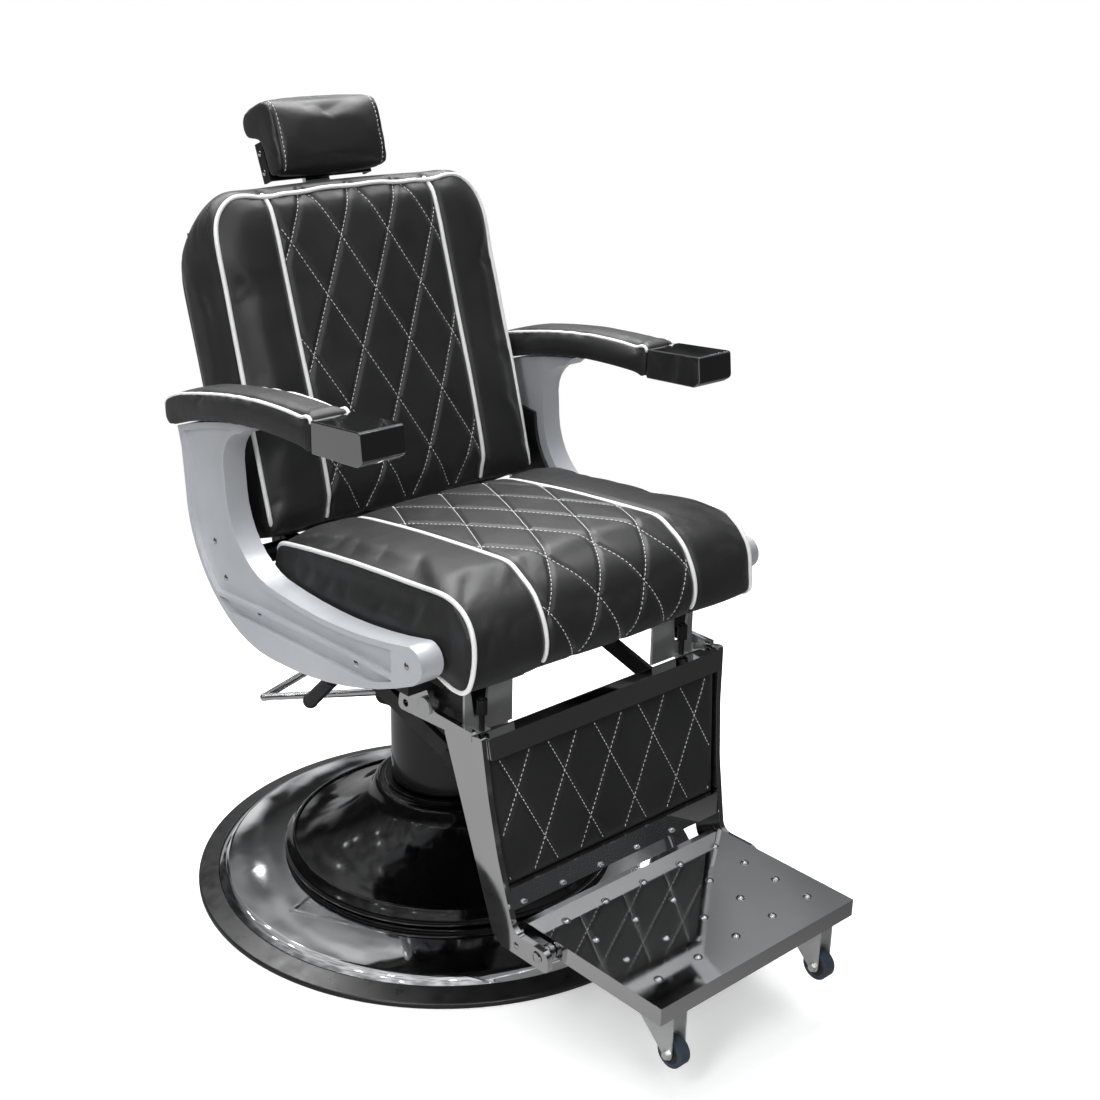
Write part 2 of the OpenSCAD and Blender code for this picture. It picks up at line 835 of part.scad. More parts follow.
// Flat outline across the legrest between two heights, drawn in by d, with corner radius r
module leg_front(s0, s1, d, r = 0) {
  polygon(rounded([
    [-leg_half(s0) + d, s0, r], [leg_half(s0) - d, s0, r],
    [leg_half(s1) - d, s1, r], [-leg_half(s1) + d, s1, r]
  ]));
}

module leg_slice(t0, t1) {
  on_leg() translate([0, t1, 0]) rotate([90, 0, 0]) linear_extrude(t1 - t0) children();
}

module leg_pad() {
  color([0.15, 0.15, 0.16]) leg_slice(0, 18) leg_front(0, panel_h - 26, 3);
}

module leg_board() {
  color([0.1, 0.1, 0.1]) leg_slice(18.2, 26) leg_front(-20, panel_h - 1, 3);
}

rail_flange = 4;

module top_rail() {
  color([0.8, 0.81, 0.83]) {
    leg_slice(-8, 0) leg_front(panel_h - 25, panel_h + rail_flange, 0.2, 3);
    leg_slice(-1, 12) leg_front(panel_h, panel_h + rail_flange, 0.2);
  }
}

module bottom_rail() {
  color([0.8, 0.81, 0.83]) {
    leg_slice(-8, 0) leg_front(-31, -1, 0.2, 3);
    leg_slice(-1, 30) leg_front(-31, -31 + rail_flange, 0.2);
  }
}

// Footplate pivot bolts with their spacers, and the screw beside each of them
module leg_screws() {
  color([0.85, 0.86, 0.87]) both_sides() {
    bar(foot_pivot, foot_pin_r, 165, 191);
    bar(foot_pivot, foot_pin_r + 3, 173.6, 180);
    translate([190, foot_pivot[0], foot_pivot[1]]) rotate([0, 90, 0]) screw(8, 3, foot_pin_r, 1);
    on_lean() translate([bar_t + seat_gap, -361, 120]) rotate([0, 90, 0]) screw(5, 2.4, 2, 0);
  }
}

// ---- link bars ----

module link_bar(side) {
  color([0.08, 0.08, 0.09]) on_side(side) slab(link_x, link_x + link_t) difference() {
    strip(link_rear, link_front, link_half);
    translate(link_rear) circle(r = link_pin_r + open_gap);
    translate(link_front) circle(r = link_pin_r + run);
  }
}

module link_bar_left() {
  link_bar(1);
}

module link_bar_right() {
  link_bar(-1);
}

// ---- footplate ----

foot_half = foot_w / 2;
tray_front = tray_back - foot_l;
tray_wall = 3;
stud_rows = 4;
stud_cols = 5;
stud_pitch = [67, 52.5];

module at_studs() {
  for (row = [0:stud_rows - 1], col = [0:stud_cols - 1])
    translate([(col - 2) * stud_pitch[0], -390 - row * stud_pitch[1], tray_top]) children();
}

module foot_tray() {
  color([0.8, 0.81, 0.83]) difference() {
    union() {
      difference() {
        block([-foot_half, tray_front, tray_low], [foot_half, tray_back, tray_top]);
        block([-foot_half + tray_wall, tray_front + tray_wall, tray_low - 1],
              [foot_half - tray_wall, tray_back + 1, tray_top - tray_wall]);
      }
      both_sides() bar(foot_pivot, 13, foot_half - 7, foot_half);
    }
    both_sides() bar(foot_pivot, foot_pin_r + run, 150, 200);
    at_studs() translate([0, 0, -5]) cylinder(r = 2 + seat_gap, h = 10);
  }
}

module foot_studs() {
  color([0.88, 0.89, 0.9]) at_studs() screw(6, 3.2, 2, tray_wall - 0.1);
}

wheel_x = 132.5;
tyre_w = 16;
fork_gap = 10;

module caster_forks() {
  roof = tray_top - tray_wall;
  color([0.62, 0.64, 0.6]) both_sides() {
    block([wheel_x - 15, axle[0] - 8, roof - 3], [wheel_x + 15, axle[0] + 78, roof - 0.1]);
    for (x = [wheel_x - fork_gap - 2, wheel_x + fork_gap]) slab(x, x + 2) polygon(concat(
      arc(axle, 7, 180, 330, 6),
      [[axle[0] + 76, roof - 20], [axle[0] + 76, roof - 2], [axle[0] - 7, roof - 2]]
    ));
    bar(axle, axle_r, wheel_x - fork_gap - 3, wheel_x + fork_gap + 3);
    for (x = [wheel_x - fork_gap - 6, wheel_x + fork_gap + 2])
      translate([x, axle[0], axle[1]]) rotate([0, 90, 0]) cylinder(r = 5.5, h = 4, $fn = 6);
  }
}

module caster_tyre(side) {
  color([0.16, 0.18, 0.21]) on_side(side) difference() {
    bar(axle, wheel_d / 2, wheel_x - tyre_w / 2, wheel_x + tyre_w / 2);
    bar(axle, wheel_d / 2 - 6, wheel_x - tyre_w, wheel_x + tyre_w);
  }
}

module caster_hub(side) {
  hub_r = wheel_d / 2 - 6 - seat_gap;
  color([0.7, 0.71, 0.7]) on_side(side) difference() {
    bar(axle, hub_r, wheel_x - tyre_w / 2 + 0.5, wheel_x + tyre_w / 2 - 0.5);
    bar(axle, axle_r + run, wheel_x - tyre_w, wheel_x + tyre_w);
  }
}

module caster_tyre_left() {
  caster_tyre(1);
}

module caster_tyre_right() {
  caster_tyre(-1);
}

module caster_hub_left() {
  caster_hub(1);
}

module caster_hub_right() {
  caster_hub(-1);
}

// ---- what is drawn ----

floor_ring();
base_plate();
chrome_dish();
base_cone();
neck_bush();
piston_rod();
piston();
piston_seal();
base_bolts();
cylinder_barrel();
gland_nut();
rod_seal();
thrust_bearing();
pump_head();
column_sleeve();
seat_frame();
frame_bolts();
seat_board();
seat_cushion();
arm_left();
arm_right();
arm_pad_left();
arm_pad_right();
arm_cap_left();
arm_cap_right();
arm_screws();
hinge_pins();
stop_brackets();
stop_bumpers();
pedal_bracket();
pump_pedal();
pump_plunger();
lever_rod();
lever_grip();
back_frame();
back_board();
back_cushion();
back_cover();
headrest_socket();
headrest_post();
headrest_bracket();
headrest_pad();
headrest_screws();
side_bar_left();
side_bar_right();
top_rail();
bottom_rail();
leg_board();
leg_pad();
leg_screws();
link_bar_left();
link_bar_right();
foot_tray();
foot_studs();
caster_forks();
caster_tyre_left();
caster_hub_left();
caster_tyre_right();
caster_hub_right();
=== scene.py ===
"""Hydraulic barber chair: cushions, stitching, finishes, floor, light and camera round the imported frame.

Plain numbers in the profile, foot, inset, PAD_ and edge tables are millimetres, and all other lengths
are metres. Each cushion is drawn in its own [x, depth, height] frame.
"""

import json
import math

import bmesh
import bpy
import numpy as np
from mathutils import Matrix, Vector
from mathutils.bvhtree import BVHTree


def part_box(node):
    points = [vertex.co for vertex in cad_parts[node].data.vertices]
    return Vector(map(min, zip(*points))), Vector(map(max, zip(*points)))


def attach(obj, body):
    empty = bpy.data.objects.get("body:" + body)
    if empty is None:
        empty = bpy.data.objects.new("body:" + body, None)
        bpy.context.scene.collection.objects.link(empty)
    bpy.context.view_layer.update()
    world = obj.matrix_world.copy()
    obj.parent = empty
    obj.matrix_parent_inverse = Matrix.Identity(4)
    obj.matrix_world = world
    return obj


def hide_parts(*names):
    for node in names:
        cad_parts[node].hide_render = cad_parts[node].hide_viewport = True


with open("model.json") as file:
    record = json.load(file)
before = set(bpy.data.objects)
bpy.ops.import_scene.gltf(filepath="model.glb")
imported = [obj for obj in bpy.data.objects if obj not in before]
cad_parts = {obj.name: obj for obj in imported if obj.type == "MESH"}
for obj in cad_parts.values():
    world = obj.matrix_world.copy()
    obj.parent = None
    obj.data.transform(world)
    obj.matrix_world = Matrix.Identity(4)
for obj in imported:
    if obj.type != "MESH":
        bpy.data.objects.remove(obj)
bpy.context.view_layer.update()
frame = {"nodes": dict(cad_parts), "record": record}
NODES = frame["nodes"]
SLOT_OF = {part["node"]: part["material_slot"] for part in frame["record"]["subparts"]}
MM = 0.001


# ---------------------------------------------------------------- materials


class Finish:
    """A Principled material whose colour, roughness and bump come from noise in object space."""

    def __init__(self, name, colour, roughness, metallic=0.0):
        self.material = bpy.data.materials.new(name)
        self.material.use_nodes = True
        self.tree = self.material.node_tree
        self.shader = self.tree.nodes["Principled BSDF"]
        self.place = self.add("ShaderNodeTexCoord").outputs["Object"]
        self.bump_from = None
        self.shader.inputs["Base Color"].default_value = (*colour, 1)
        self.shader.inputs["Roughness"].default_value = roughness
        self.shader.inputs["Metallic"].default_value = metallic
        self.colour = colour
        self.roughness = roughness

    def add(self, kind):
        return self.tree.nodes.new(kind)

    def link(self, source, target):
        self.tree.links.new(source, target)

    def noise(self, scale, detail=4.0, stretch=(1, 1, 1)):
        mapping = self.add("ShaderNodeMapping")
        mapping.inputs["Scale"].default_value = stretch
        self.link(self.place, mapping.inputs["Vector"])
        texture = self.add("ShaderNodeTexNoise")
        texture.inputs["Scale"].default_value = scale
        texture.inputs["Detail"].default_value = detail
        self.link(mapping.outputs["Vector"], texture.inputs["Vector"])
        return texture.outputs["Fac"]

    def cells(self, scale):
        texture = self.add("ShaderNodeTexVoronoi")
        texture.feature = "DISTANCE_TO_EDGE"
        texture.inputs["Scale"].default_value = scale
        self.link(self.place, texture.inputs["Vector"])
        return texture.outputs["Distance"]

    def ranged(self, source, low, high, start=0.3, end=0.7):
        node = self.add("ShaderNodeMapRange")
        node.inputs["From Min"].default_value = start
        node.inputs["From Max"].default_value = end
        node.inputs["To Min"].default_value = low
        node.inputs["To Max"].default_value = high
        self.link(source, node.inputs["Value"])
        return node.outputs["Result"]

    def vary_colour(self, scale, amount):
        """Colour drifts by amount to each side of its base."""
        mix = self.add("ShaderNodeMix")
        mix.data_type = "RGBA"
        self.link(self.ranged(self.noise(scale), 0, 1), mix.inputs["Factor"])
        mix.inputs["A"].default_value = (*[c * (1 - amount) for c in self.colour], 1)
        mix.inputs["B"].default_value = (*[min(c * (1 + amount), 1) for c in self.colour], 1)
        self.link(mix.outputs["Result"], self.shader.inputs["Base Color"])
        return self

    def vary_roughness(self, scale, amount):
        result = self.ranged(self.noise(scale), max(self.roughness - amount, 0.01), self.roughness + amount)
        self.link(result, self.shader.inputs["Roughness"])
        return self

    def bump(self, source, height, strength=1.0):
        """Adds a bump layer: height is the relief's depth in metres."""
        node = self.add("ShaderNodeBump")
        node.inputs["Strength"].default_value = strength
        node.inputs["Distance"].default_value = height
        self.link(source, node.inputs["Height"])
        if self.bump_from:
            self.link(self.bump_from, node.inputs["Normal"])
        self.bump_from = node.outputs["Normal"]
        self.link(self.bump_from, self.shader.inputs["Normal"])
        return self

    def set(self, **inputs):
        for name, value in inputs.items():
            self.shader.inputs[name.replace("_", " ")].default_value = value
        return self


def leatherette():
    skin = Finish("leatherette", (0.019, 0.019, 0.0195), 0.44)
    skin.vary_colour(14, 0.16).vary_roughness(30, 0.07)
    skin.bump(skin.ranged(skin.cells(620), 0, 1, 0.0, 0.25), 0.00012, 0.5)
    skin.bump(skin.noise(160, 6), 0.0004, 0.35)
    skin.bump(skin.noise(11, 3), 0.004, 0.12)
    skin.set(Sheen_Weight=0.06, Sheen_Roughness=0.4, Specular_IOR_Level=0.42)
    return skin.material


def piping_vinyl():
    vinyl = Finish("white_piping", (0.86, 0.86, 0.85), 0.34)
    vinyl.vary_colour(40, 0.04).vary_roughness(90, 0.06)
    vinyl.bump(vinyl.ranged(vinyl.cells(900), 0, 1, 0.0, 0.3), 0.00008, 0.5)
    vinyl.set(Coat_Weight=0.15, Coat_Roughness=0.25)
    return vinyl.material


def thread():
    yarn = Finish("white_thread", (0.78, 0.78, 0.77), 0.62)
    yarn.vary_colour(300, 0.1)
    yarn.bump(yarn.noise(2600, 2, (1, 1, 0.3)), 0.0002, 0.6)
    return yarn.material


def chrome(name, shade, roughness):
    plate = Finish(name, (shade, shade, shade * 1.01), roughness, 1.0)
    plate.vary_roughness(24, roughness * 0.55).vary_colour(9, 0.03)
    plate.bump(plate.noise(5, 2), 0.002, 0.05)
    plate.bump(plate.noise(700, 3), 0.00003, 0.2)
    return plate.material


def cast_aluminium():
    metal = Finish("cast_aluminium", (0.56, 0.58, 0.61), 0.38, 0.3)
    metal.vary_colour(7, 0.06).vary_roughness(45, 0.07)
    metal.bump(metal.noise(420, 5), 0.00012, 0.45)
    metal.bump(metal.noise(26, 3), 0.0012, 0.12)
    metal.set(Coat_Weight=0.35, Coat_Roughness=0.22)
    return metal.material


def enamel(name, roughness, coat):
    paint = Finish(name, (0.006, 0.006, 0.0065), roughness)
    paint.vary_roughness(28, roughness * 0.4)
    paint.bump(paint.noise(190, 3), 0.00012, 0.3)
    paint.bump(paint.noise(8, 2), 0.003, 0.06)
    paint.set(Coat_Weight=coat, Coat_Roughness=0.05)
    return paint.material


def matt(name, colour, roughness, drift, patches, grain):
    """Rubber, cloth or plastic. drift, patches and grain are the noise scales and depths of the colour, the
    roughness and the surface."""
    skin = Finish(name, colour, roughness)
    skin.vary_colour(*drift).vary_roughness(*patches)
    scale, depth, strength = grain
    skin.bump(skin.noise(scale), depth, strength)
    return skin.material


def plated_steel(name, colour, roughness):
    steel = Finish(name, colour, roughness, 0.75)
    steel.vary_colour(30, 0.05).vary_roughness(40, 0.05)
    steel.bump(steel.noise(900, 3, (1, 1, 0.06)), 0.00003, 0.2)
    return steel.material


def bearing_bronze():
    bronze = Finish("bearing_bronze", (0.62, 0.42, 0.17), 0.32, 1.0)
    bronze.vary_colour(60, 0.12).vary_roughness(90, 0.1)
    bronze.bump(bronze.noise(700, 3, (1, 1, 0.1)), 0.00006, 0.4)
    return bronze.material


SKIN = leatherette()
PIPING = piping_vinyl()
THREAD = thread()
FINISHES = {
    "leatherette": SKIN,
    "rim_rubber": matt(
        "rim_rubber", (0.010, 0.010, 0.0105), 0.34, (35, 0.2), (55, 0.08), (850, 0.00015, 0.5)),
    "zinc_plate": plated_steel("zinc_plate", (0.68, 0.69, 0.68), 0.34),
    "mirror_chrome": chrome("mirror_chrome", 0.86, 0.055),
    "dark_chrome": chrome("dark_chrome", 0.42, 0.08),
    "gloss_black": enamel("gloss_black", 0.12, 0.5),
    "satin_black": enamel("satin_black", 0.38, 0.1),
    "bronze": bearing_bronze(),
    "ground_steel": plated_steel("ground_steel", (0.7, 0.71, 0.73), 0.18),
    "seal_rubber": matt(
        "seal_rubber", (0.012, 0.012, 0.012), 0.5, (35, 0.2), (55, 0.08), (850, 0.00015, 0.5)),
    "cast_aluminium": cast_aluminium(),
    "covered_board": matt(
        "covered_board", (0.012, 0.012, 0.013), 0.75, (50, 0.2), (70, 0.08), (1200, 0.0002, 0.5)),
    "black_plastic": matt(
        "moulded_plastic", (0.016, 0.016, 0.017), 0.42, (30, 0.1), (60, 0.08), (520, 0.00012, 0.4)),
    "tyre": matt(
        "tyre_rubber", (0.03, 0.042, 0.06), 0.6, (90, 0.2), (120, 0.08), (1100, 0.0002, 0.5)),
}


# ---------------------------------------------------------------- shared mesh work


def make_object(name, vertices, faces, material, matrix=None):
    mesh = bpy.data.meshes.new(name)
    mesh.from_pydata([tuple(v) for v in vertices], [], [tuple(f) for f in faces])
    work = bmesh.new()
    work.from_mesh(mesh)
    bmesh.ops.recalc_face_normals(work, faces=work.faces)
    work.to_mesh(mesh)
    work.free()
    for polygon in mesh.polygons:
        polygon.use_smooth = True
    mesh.materials.append(material)
    if matrix:
        mesh.transform(matrix)
    made = bpy.data.objects.new(name, mesh)
    bpy.context.scene.collection.objects.link(made)
    return made


def coordinates(made):
    points = np.zeros(len(made.data.vertices) * 3, np.float32)
    made.data.vertices.foreach_get("co", points)
    return points.reshape(-1, 3).astype(float)


def normals(made):
    values = np.zeros(len(made.data.vertices) * 3, np.float32)
    made.data.vertices.foreach_get("normal", values)
    return values.reshape(-1, 3).astype(float)


def set_coordinates(made, points):
    made.data.vertices.foreach_set("co", points.astype(np.float32).ravel())
    made.data.update()


def apply_modifiers(made):
    graph = bpy.context.evaluated_depsgraph_get()
    mesh = bpy.data.meshes.new_from_object(made.evaluated_get(graph))
    made.modifiers.clear()
    made.data = mesh


def smoothstep(low, high, value):
    t = np.clip((value - low) / (high - low), 0, 1)
    return t * t * (3 - 2 * t)


def spline(controls, step, closed=True):
    """Catmull-Rom curve through the control points, resampled at even steps."""
    ends = list(controls) if closed else [controls[0], *controls, controls[-1]]
    ends = [np.array(p, float) for p in ends]
    count = len(ends)
    spans = range(count) if closed else range(count - 3)
    dense = []
    for i in spans:
        first = i - 1 if closed else i
        a, b, c, d = (ends[(first + k) % count] for k in range(4))
        for t in np.linspace(0, 1, 16, endpoint=False):
            dense.append(0.5 * (2 * b + (c - a) * t + (2 * a - 5 * b + 4 * c - d) * t**2
                                + (3 * b - a - 3 * c + d) * t**3))
    dense.append(dense[0] if closed else ends[-1])
    dense = np.array(dense)
    along = np.concatenate([[0], np.cumsum(np.linalg.norm(np.diff(dense, axis=0), axis=1))])
    count = max(int(along[-1] / step), 8)
    marks = np.linspace(0, along[-1], count + (0 if closed else 1), endpoint=not closed)
    return np.stack([np.interp(marks, along, dense[:, k]) for k in range(dense.shape[1])], 1)


def tube(name, path, radius, material, matrix, sides=10):
    """A round cord along a path of points, with narrower ends."""
    tangents = np.gradient(path, axis=0)
    tangents /= np.linalg.norm(tangents, axis=1)[:, None]
    side = np.cross(tangents[0], (0.3, 0.5, 0.81))
    start = path[0] - tangents[0] * radius * 0.6
    end = path[-1] + tangents[-1] * radius * 0.6
    radii = [radius * 0.55] + [radius] * len(path) + [radius * 0.55]
    path = np.concatenate([[start], path, [end]])
    tangents = np.concatenate([[tangents[0]], tangents, [tangents[-1]]])
    rings = []
    angles = np.linspace(0, 2 * math.pi, sides, endpoint=False)
    for point, tangent, size in zip(path, tangents, radii):
        side = side - tangent * side.dot(tangent)
        side /= np.linalg.norm(side)
        other = np.cross(tangent, side)
        rings.append(point + size * (np.cos(angles)[:, None] * side + np.sin(angles)[:, None] * other))
    faces = []
    count = len(rings)
    for i in range(count - 1):
        here, there = i * sides, (i + 1) * sides
        for k in range(sides):
            nxt = (k + 1) % sides
            faces.append((here + k, here + nxt, there + nxt, there + k))
    faces.append(tuple(range(sides))[::-1])
    faces.append(tuple(range((count - 1) * sides, count * sides)))
    return make_object(name, np.concatenate(rings), faces, material, matrix)


def stitches(name, runs, matrix=None, length=4.2 * MM, gap=2.0 * MM, radius=0.5 * MM):
    """Short threads along each run of surface points, as one mesh. A run is (points, outward normals)."""
    vertices, faces = [], []
    sides = 5
    for points, out in runs:
        along = np.concatenate([[0], np.cumsum(np.linalg.norm(np.diff(points, axis=0), axis=1))])
        mark = gap
        while mark + length < along[-1]:
            ring_marks = mark + length * np.array([0.0, 0.12, 0.5, 0.88, 1.0])
            sizes = radius * np.array([0.3, 0.9, 1.0, 0.9, 0.3])
            lifts = radius * np.array([-0.8, 0.2, 0.5, 0.2, -0.8])
            centre = np.stack([np.interp(ring_marks, along, points[:, k]) for k in range(3)], 1)
            up = np.stack([np.interp(ring_marks, along, out[:, k]) for k in range(3)], 1)
            up /= np.linalg.norm(up, axis=1)[:, None]
            run = centre[-1] - centre[0]
            across = np.cross(run / np.linalg.norm(run), up)
            base = len(vertices)
            for c, u, a, size, lift in zip(centre, up, across, sizes, lifts):
                for k in range(sides):
                    turn = 2 * math.pi * k / sides
                    vertices.append(c + u * (lift + size * math.sin(turn)) + a * size * math.cos(turn))
            for i in range(len(ring_marks) - 1):
                for k in range(sides):
                    a, b = base + i * sides + k, base + i * sides + (k + 1) % sides
                    faces.append((a, b, b + sides, a + sides))
            faces.append(tuple(range(base + sides - 1, base - 1, -1)))
            last = base + (len(ring_marks) - 1) * sides
            faces.append(tuple(range(last, last + sides)))
            mark += length + gap
    return make_object(name, vertices, faces, THREAD, matrix)


def slab_faces(across, up):
    """Faces of a slab made of two grids of vertices, one behind the other, closed round the rim."""
    faces = []
    count = across * up
    for j in range(up - 1):
        for i in range(across - 1):
            a = j * across + i
            b = a + count
            faces.append((a, a + 1, a + across + 1, a + across))
            faces.append((b, b + across, b + across + 1, b + 1))
    rim = list(range(across))
    rim += [j * across + across - 1 for j in range(1, up)]
    rim += [(up - 1) * across + i for i in range(across - 2, -1, -1)]
    rim += [j * across for j in range(up - 2, 0, -1)]
    for a, b in zip(rim, rim[1:] + rim[:1]):
        faces.append((a, a + count, b + count, b))
    return faces


# ---------------------------------------------------------------- cushions


def upholster(made, body, node):
    """Puts a leatherette piece in the place of a CAD node, and it rides with the node's body."""
    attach(made, body)
    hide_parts(node)



FINE_VOXEL = 3.5 * MM
CLOTH_PRESSURE = 4.0
CLOTH_FRAMES = 20


class Cushion:
    """A padded form: a closed [depth, height] profile swept across x, remeshed, swollen, then sewn."""

    def __init__(self, name, body, controls, stations, matrix=None, voxel=5 * MM, full_below=None):
        self.name = name
        self.body = body
        self.matrix = matrix or Matrix.Identity(4)
        self.profile = spline(controls, 4 * MM)
        step = np.roll(self.profile, -1, 0) - np.roll(self.profile, 1, 0)
        step /= np.linalg.norm(step, axis=1)[:, None]
        turn = np.sum(self.profile[:, 0] * np.roll(self.profile[:, 1], -1)
                      - np.roll(self.profile[:, 0], -1) * self.profile[:, 1])
        self.outward = np.stack([step[:, 1], -step[:, 0]], 1) * (1 if turn > 0 else -1)
        edge = np.linalg.norm(np.roll(self.profile, -1, 0) - self.profile, axis=1)
        self.along = np.concatenate([[0], np.cumsum(edge)[:-1]])
        self.total = edge.sum()
        self.object = self.loft(stations, full_below)
        remesh = self.object.modifiers.new("remesh", "REMESH")
        remesh.mode = "VOXEL"
        remesh.voxel_size = voxel
        apply_modifiers(self.object)

    def loft(self, stations, full_below=None):
        """Rings at stations (x, inset of the profile), closed at both ends. Below full_below the profile
        keeps its full size."""
        rings = []
        share = np.ones(len(self.profile))
        if full_below is not None:
            share = smoothstep(full_below, full_below + 0.035, self.profile[:, 1])
        for x, inset in stations:
            ring = self.profile - self.outward * inset * share[:, None]
            rings.append(np.column_stack([np.full(len(ring), x), ring]))
        count = len(self.profile)
        faces = [tuple(range(count))]
        for i in range(len(rings) - 1):
            here, there = i * count, (i + 1) * count
            for k in range(count):
                nxt = (k + 1) % count
                faces.append((here + k, there + k, there + nxt, here + nxt))
        faces.append(tuple(range((len(rings) - 1) * count, len(rings) * count))[::-1])
        return make_object(self.name, np.concatenate(rings), faces, SKIN)

    def swell(self, cap, held):
        """Blows the cushion up as cloth. No point moves more than cap; held points stay on the board."""
        made = self.object
        before = coordinates(made)
        group = made.vertex_groups.new(name="held")
        weights = held(before)
        for index in np.nonzero(weights > 0.02)[0]:
            group.add([int(index)], float(weights[index]), "REPLACE")
        cloth = made.modifiers.new("cloth", "CLOTH")
        cloth.settings.quality = 5
        cloth.settings.mass = 0.35
        cloth.settings.tension_stiffness = 22
        cloth.settings.compression_stiffness = 18
        cloth.settings.bending_stiffness = 1.2
        cloth.settings.use_pressure = True
        cloth.settings.uniform_pressure_force = CLOTH_PRESSURE
        cloth.settings.effector_weights.gravity = 0
        cloth.settings.vertex_group_mass = "held"
        cloth.point_cache.frame_start = 1
        cloth.point_cache.frame_end = CLOTH_FRAMES
        scene = bpy.context.scene
        for number in range(1, CLOTH_FRAMES + 1):
            scene.frame_set(number)
        graph = bpy.context.evaluated_depsgraph_get()
        swollen = made.evaluated_get(graph).to_mesh()
        after = np.zeros(len(swollen.vertices) * 3, np.float32)
        swollen.vertices.foreach_get("co", after)
        after = after.reshape(-1, 3).astype(float)
        made.modifiers.clear()
        scene.frame_set(1)
        move = after - before
        length = np.linalg.norm(move, axis=1)
        scale = np.where(length > cap, cap / np.maximum(length, 1e-9), 1)
        set_coordinates(made, before + move * scale[:, None])

    def refine(self, smooth=6):
        """Evens out the remeshed faces, then subdivides once."""
        relax = self.object.modifiers.new("relax", "SMOOTH")
        relax.factor = 0.5
        relax.iterations = smooth
        finer = self.object.modifiers.new("finer", "SUBSURF")
        finer.levels = 1
        finer.render_levels = 1
        apply_modifiers(self.object)

    def locate(self, points):
        """For each point: its distance along the profile, and how squarely it faces the profile's outside."""
        place = np.zeros(len(points), int)
        for start in range(0, len(points), 4000):
            part = points[start:start + 4000, 1:]
            gap = ((part[:, None, :] - self.profile[None, :, :]) ** 2).sum(2)
            place[start:start + 4000] = gap.argmin(1)
        step = points[:, 1:] - self.profile[place]
        tangent = np.stack([-self.outward[place][:, 1], self.outward[place][:, 0]], 1)
        sign = 1 if self.tangent_follows(tangent, place) else -1
        along = self.along[place] + sign * (step * tangent).sum(1)
        return along, self.outward[place]

    def tangent_follows(self, tangent, place):
        i = place[0]
        ahead = self.profile[(i + 1) % len(self.profile)] - self.profile[i]
        return ahead @ tangent[0] > 0

    def press(self, relief):
        """Moves the surface along its normals by relief(x, along, facing)."""
        points = coordinates(self.object)
        out = normals(self.object)
        along, outward = self.locate(points)
        facing = (out[:, 1:] * outward).sum(1)
        set_coordinates(self.object, points + out * relief(points[:, 0], along, facing)[:, None])

    def tree(self):
        bpy.context.view_layer.update()
        mesh = self.object.data
        return BVHTree.FromPolygons([v.co for v in mesh.vertices], [p.vertices for p in mesh.polygons])

    def at(self, along):
        """Profile point and outward direction at a distance along it."""
        marks = np.append(self.along, self.total)
        closed = np.vstack([self.profile, self.profile[:1]])
        outward = np.vstack([self.outward, self.outward[:1]])
        point = np.array([np.interp(along % self.total, marks, closed[:, k]) for k in range(2)])
        out = np.array([np.interp(along % self.total, marks, outward[:, k]) for k in range(2)])
        return point, out / np.linalg.norm(out)

    def surface(self, tree, x, along, deep=22 * MM, corner=0.0):
        """The surface point over (x, along), seen from inside, and the direction used. With a corner of 1,
        the direction leans out to the side by 45 degrees, to find a cushion's edge."""
        point, out = self.at(along)
        direction = Vector((corner * np.sign(x), out[0], out[1])).normalized()
        start = Vector((x - corner * np.sign(x) * deep, *(point - out * deep)))
        hit = tree.ray_cast(start, direction)
        if hit[0] is None:
            return None, direction
        return np.array(hit[0]), direction

    def path(self, tree, spots, corner=0.0, deep=22 * MM, lift=0.0):
        """Surface points and directions over a list of (x, along)."""
        found = [self.surface(tree, x, along, deep, corner) for x, along in spots]
        pairs = [(p, np.array(d)) for p, d in found if p is not None]
        points = np.array([p + d * lift for p, d in pairs])
        return points, np.array([d for _, d in pairs])

    def cord(self, name, points, radius=3.1 * MM):
        """White piping along points of the surface, and it rides with the cushion."""
        smooth = spline(points[::2], 4 * MM, closed=False)
        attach(tube(name, smooth, radius, PIPING, self.matrix), self.body)

    def finish(self, node):
        self.object.data.transform(self.matrix)
        self.object.data.update()
        upholster(self.object, self.body, node)


def swept_stations(half_width, inset, round_by=9 * MM, middle=()):
    """Stations across a cushion: middle ones as (x, inset) on the +x side, then a rounded edge that
    starts from inset and turns in by round_by."""
    side = list(middle)
    for degrees in (0, 22, 45, 67, 90):
        turn = math.radians(degrees)
        x = half_width - round_by * (1 - math.sin(turn))
        side.append((x, inset + round_by * (1 - math.cos(turn))))
    return [(-x, gap) for x, gap in side[::-1]] + side


QUILT_W = 78 * MM
QUILT_H = 150 * MM
QUILT_SLOPE = math.hypot(1 / QUILT_W, 1 / QUILT_H)


def quilt_distance(x, along, start):
    """Distance to the nearest line of a diamond quilting whose crossings are at along = start, x = 0."""
    rise = (along - start) / QUILT_H
    first = x / QUILT_W + rise
    second = x / QUILT_W - rise
    gap = np.minimum(np.abs(first - np.round(first)), np.abs(second - np.round(second)))
    return gap / QUILT_SLOPE


def quilt_runs(half, low, high, start, step=3 * MM):
    """Straight stitch lines of the quilting inside |x| < half and low < along < high, as (x, along) lists."""
    runs = []
    reach = int((half / QUILT_W) + (high - low) / QUILT_H) + 3
    for sign in (1, -1):
        for number in range(-reach * 2, reach * 2 + 1):
            marks = np.arange(low, high, step * 0.88)
            x = (number - sign * (marks - start) / QUILT_H) * QUILT_W
            inside = np.abs(x) < half
            if inside.sum() > 3:
                runs.append(list(zip(x[inside], marks[inside])))
    return runs


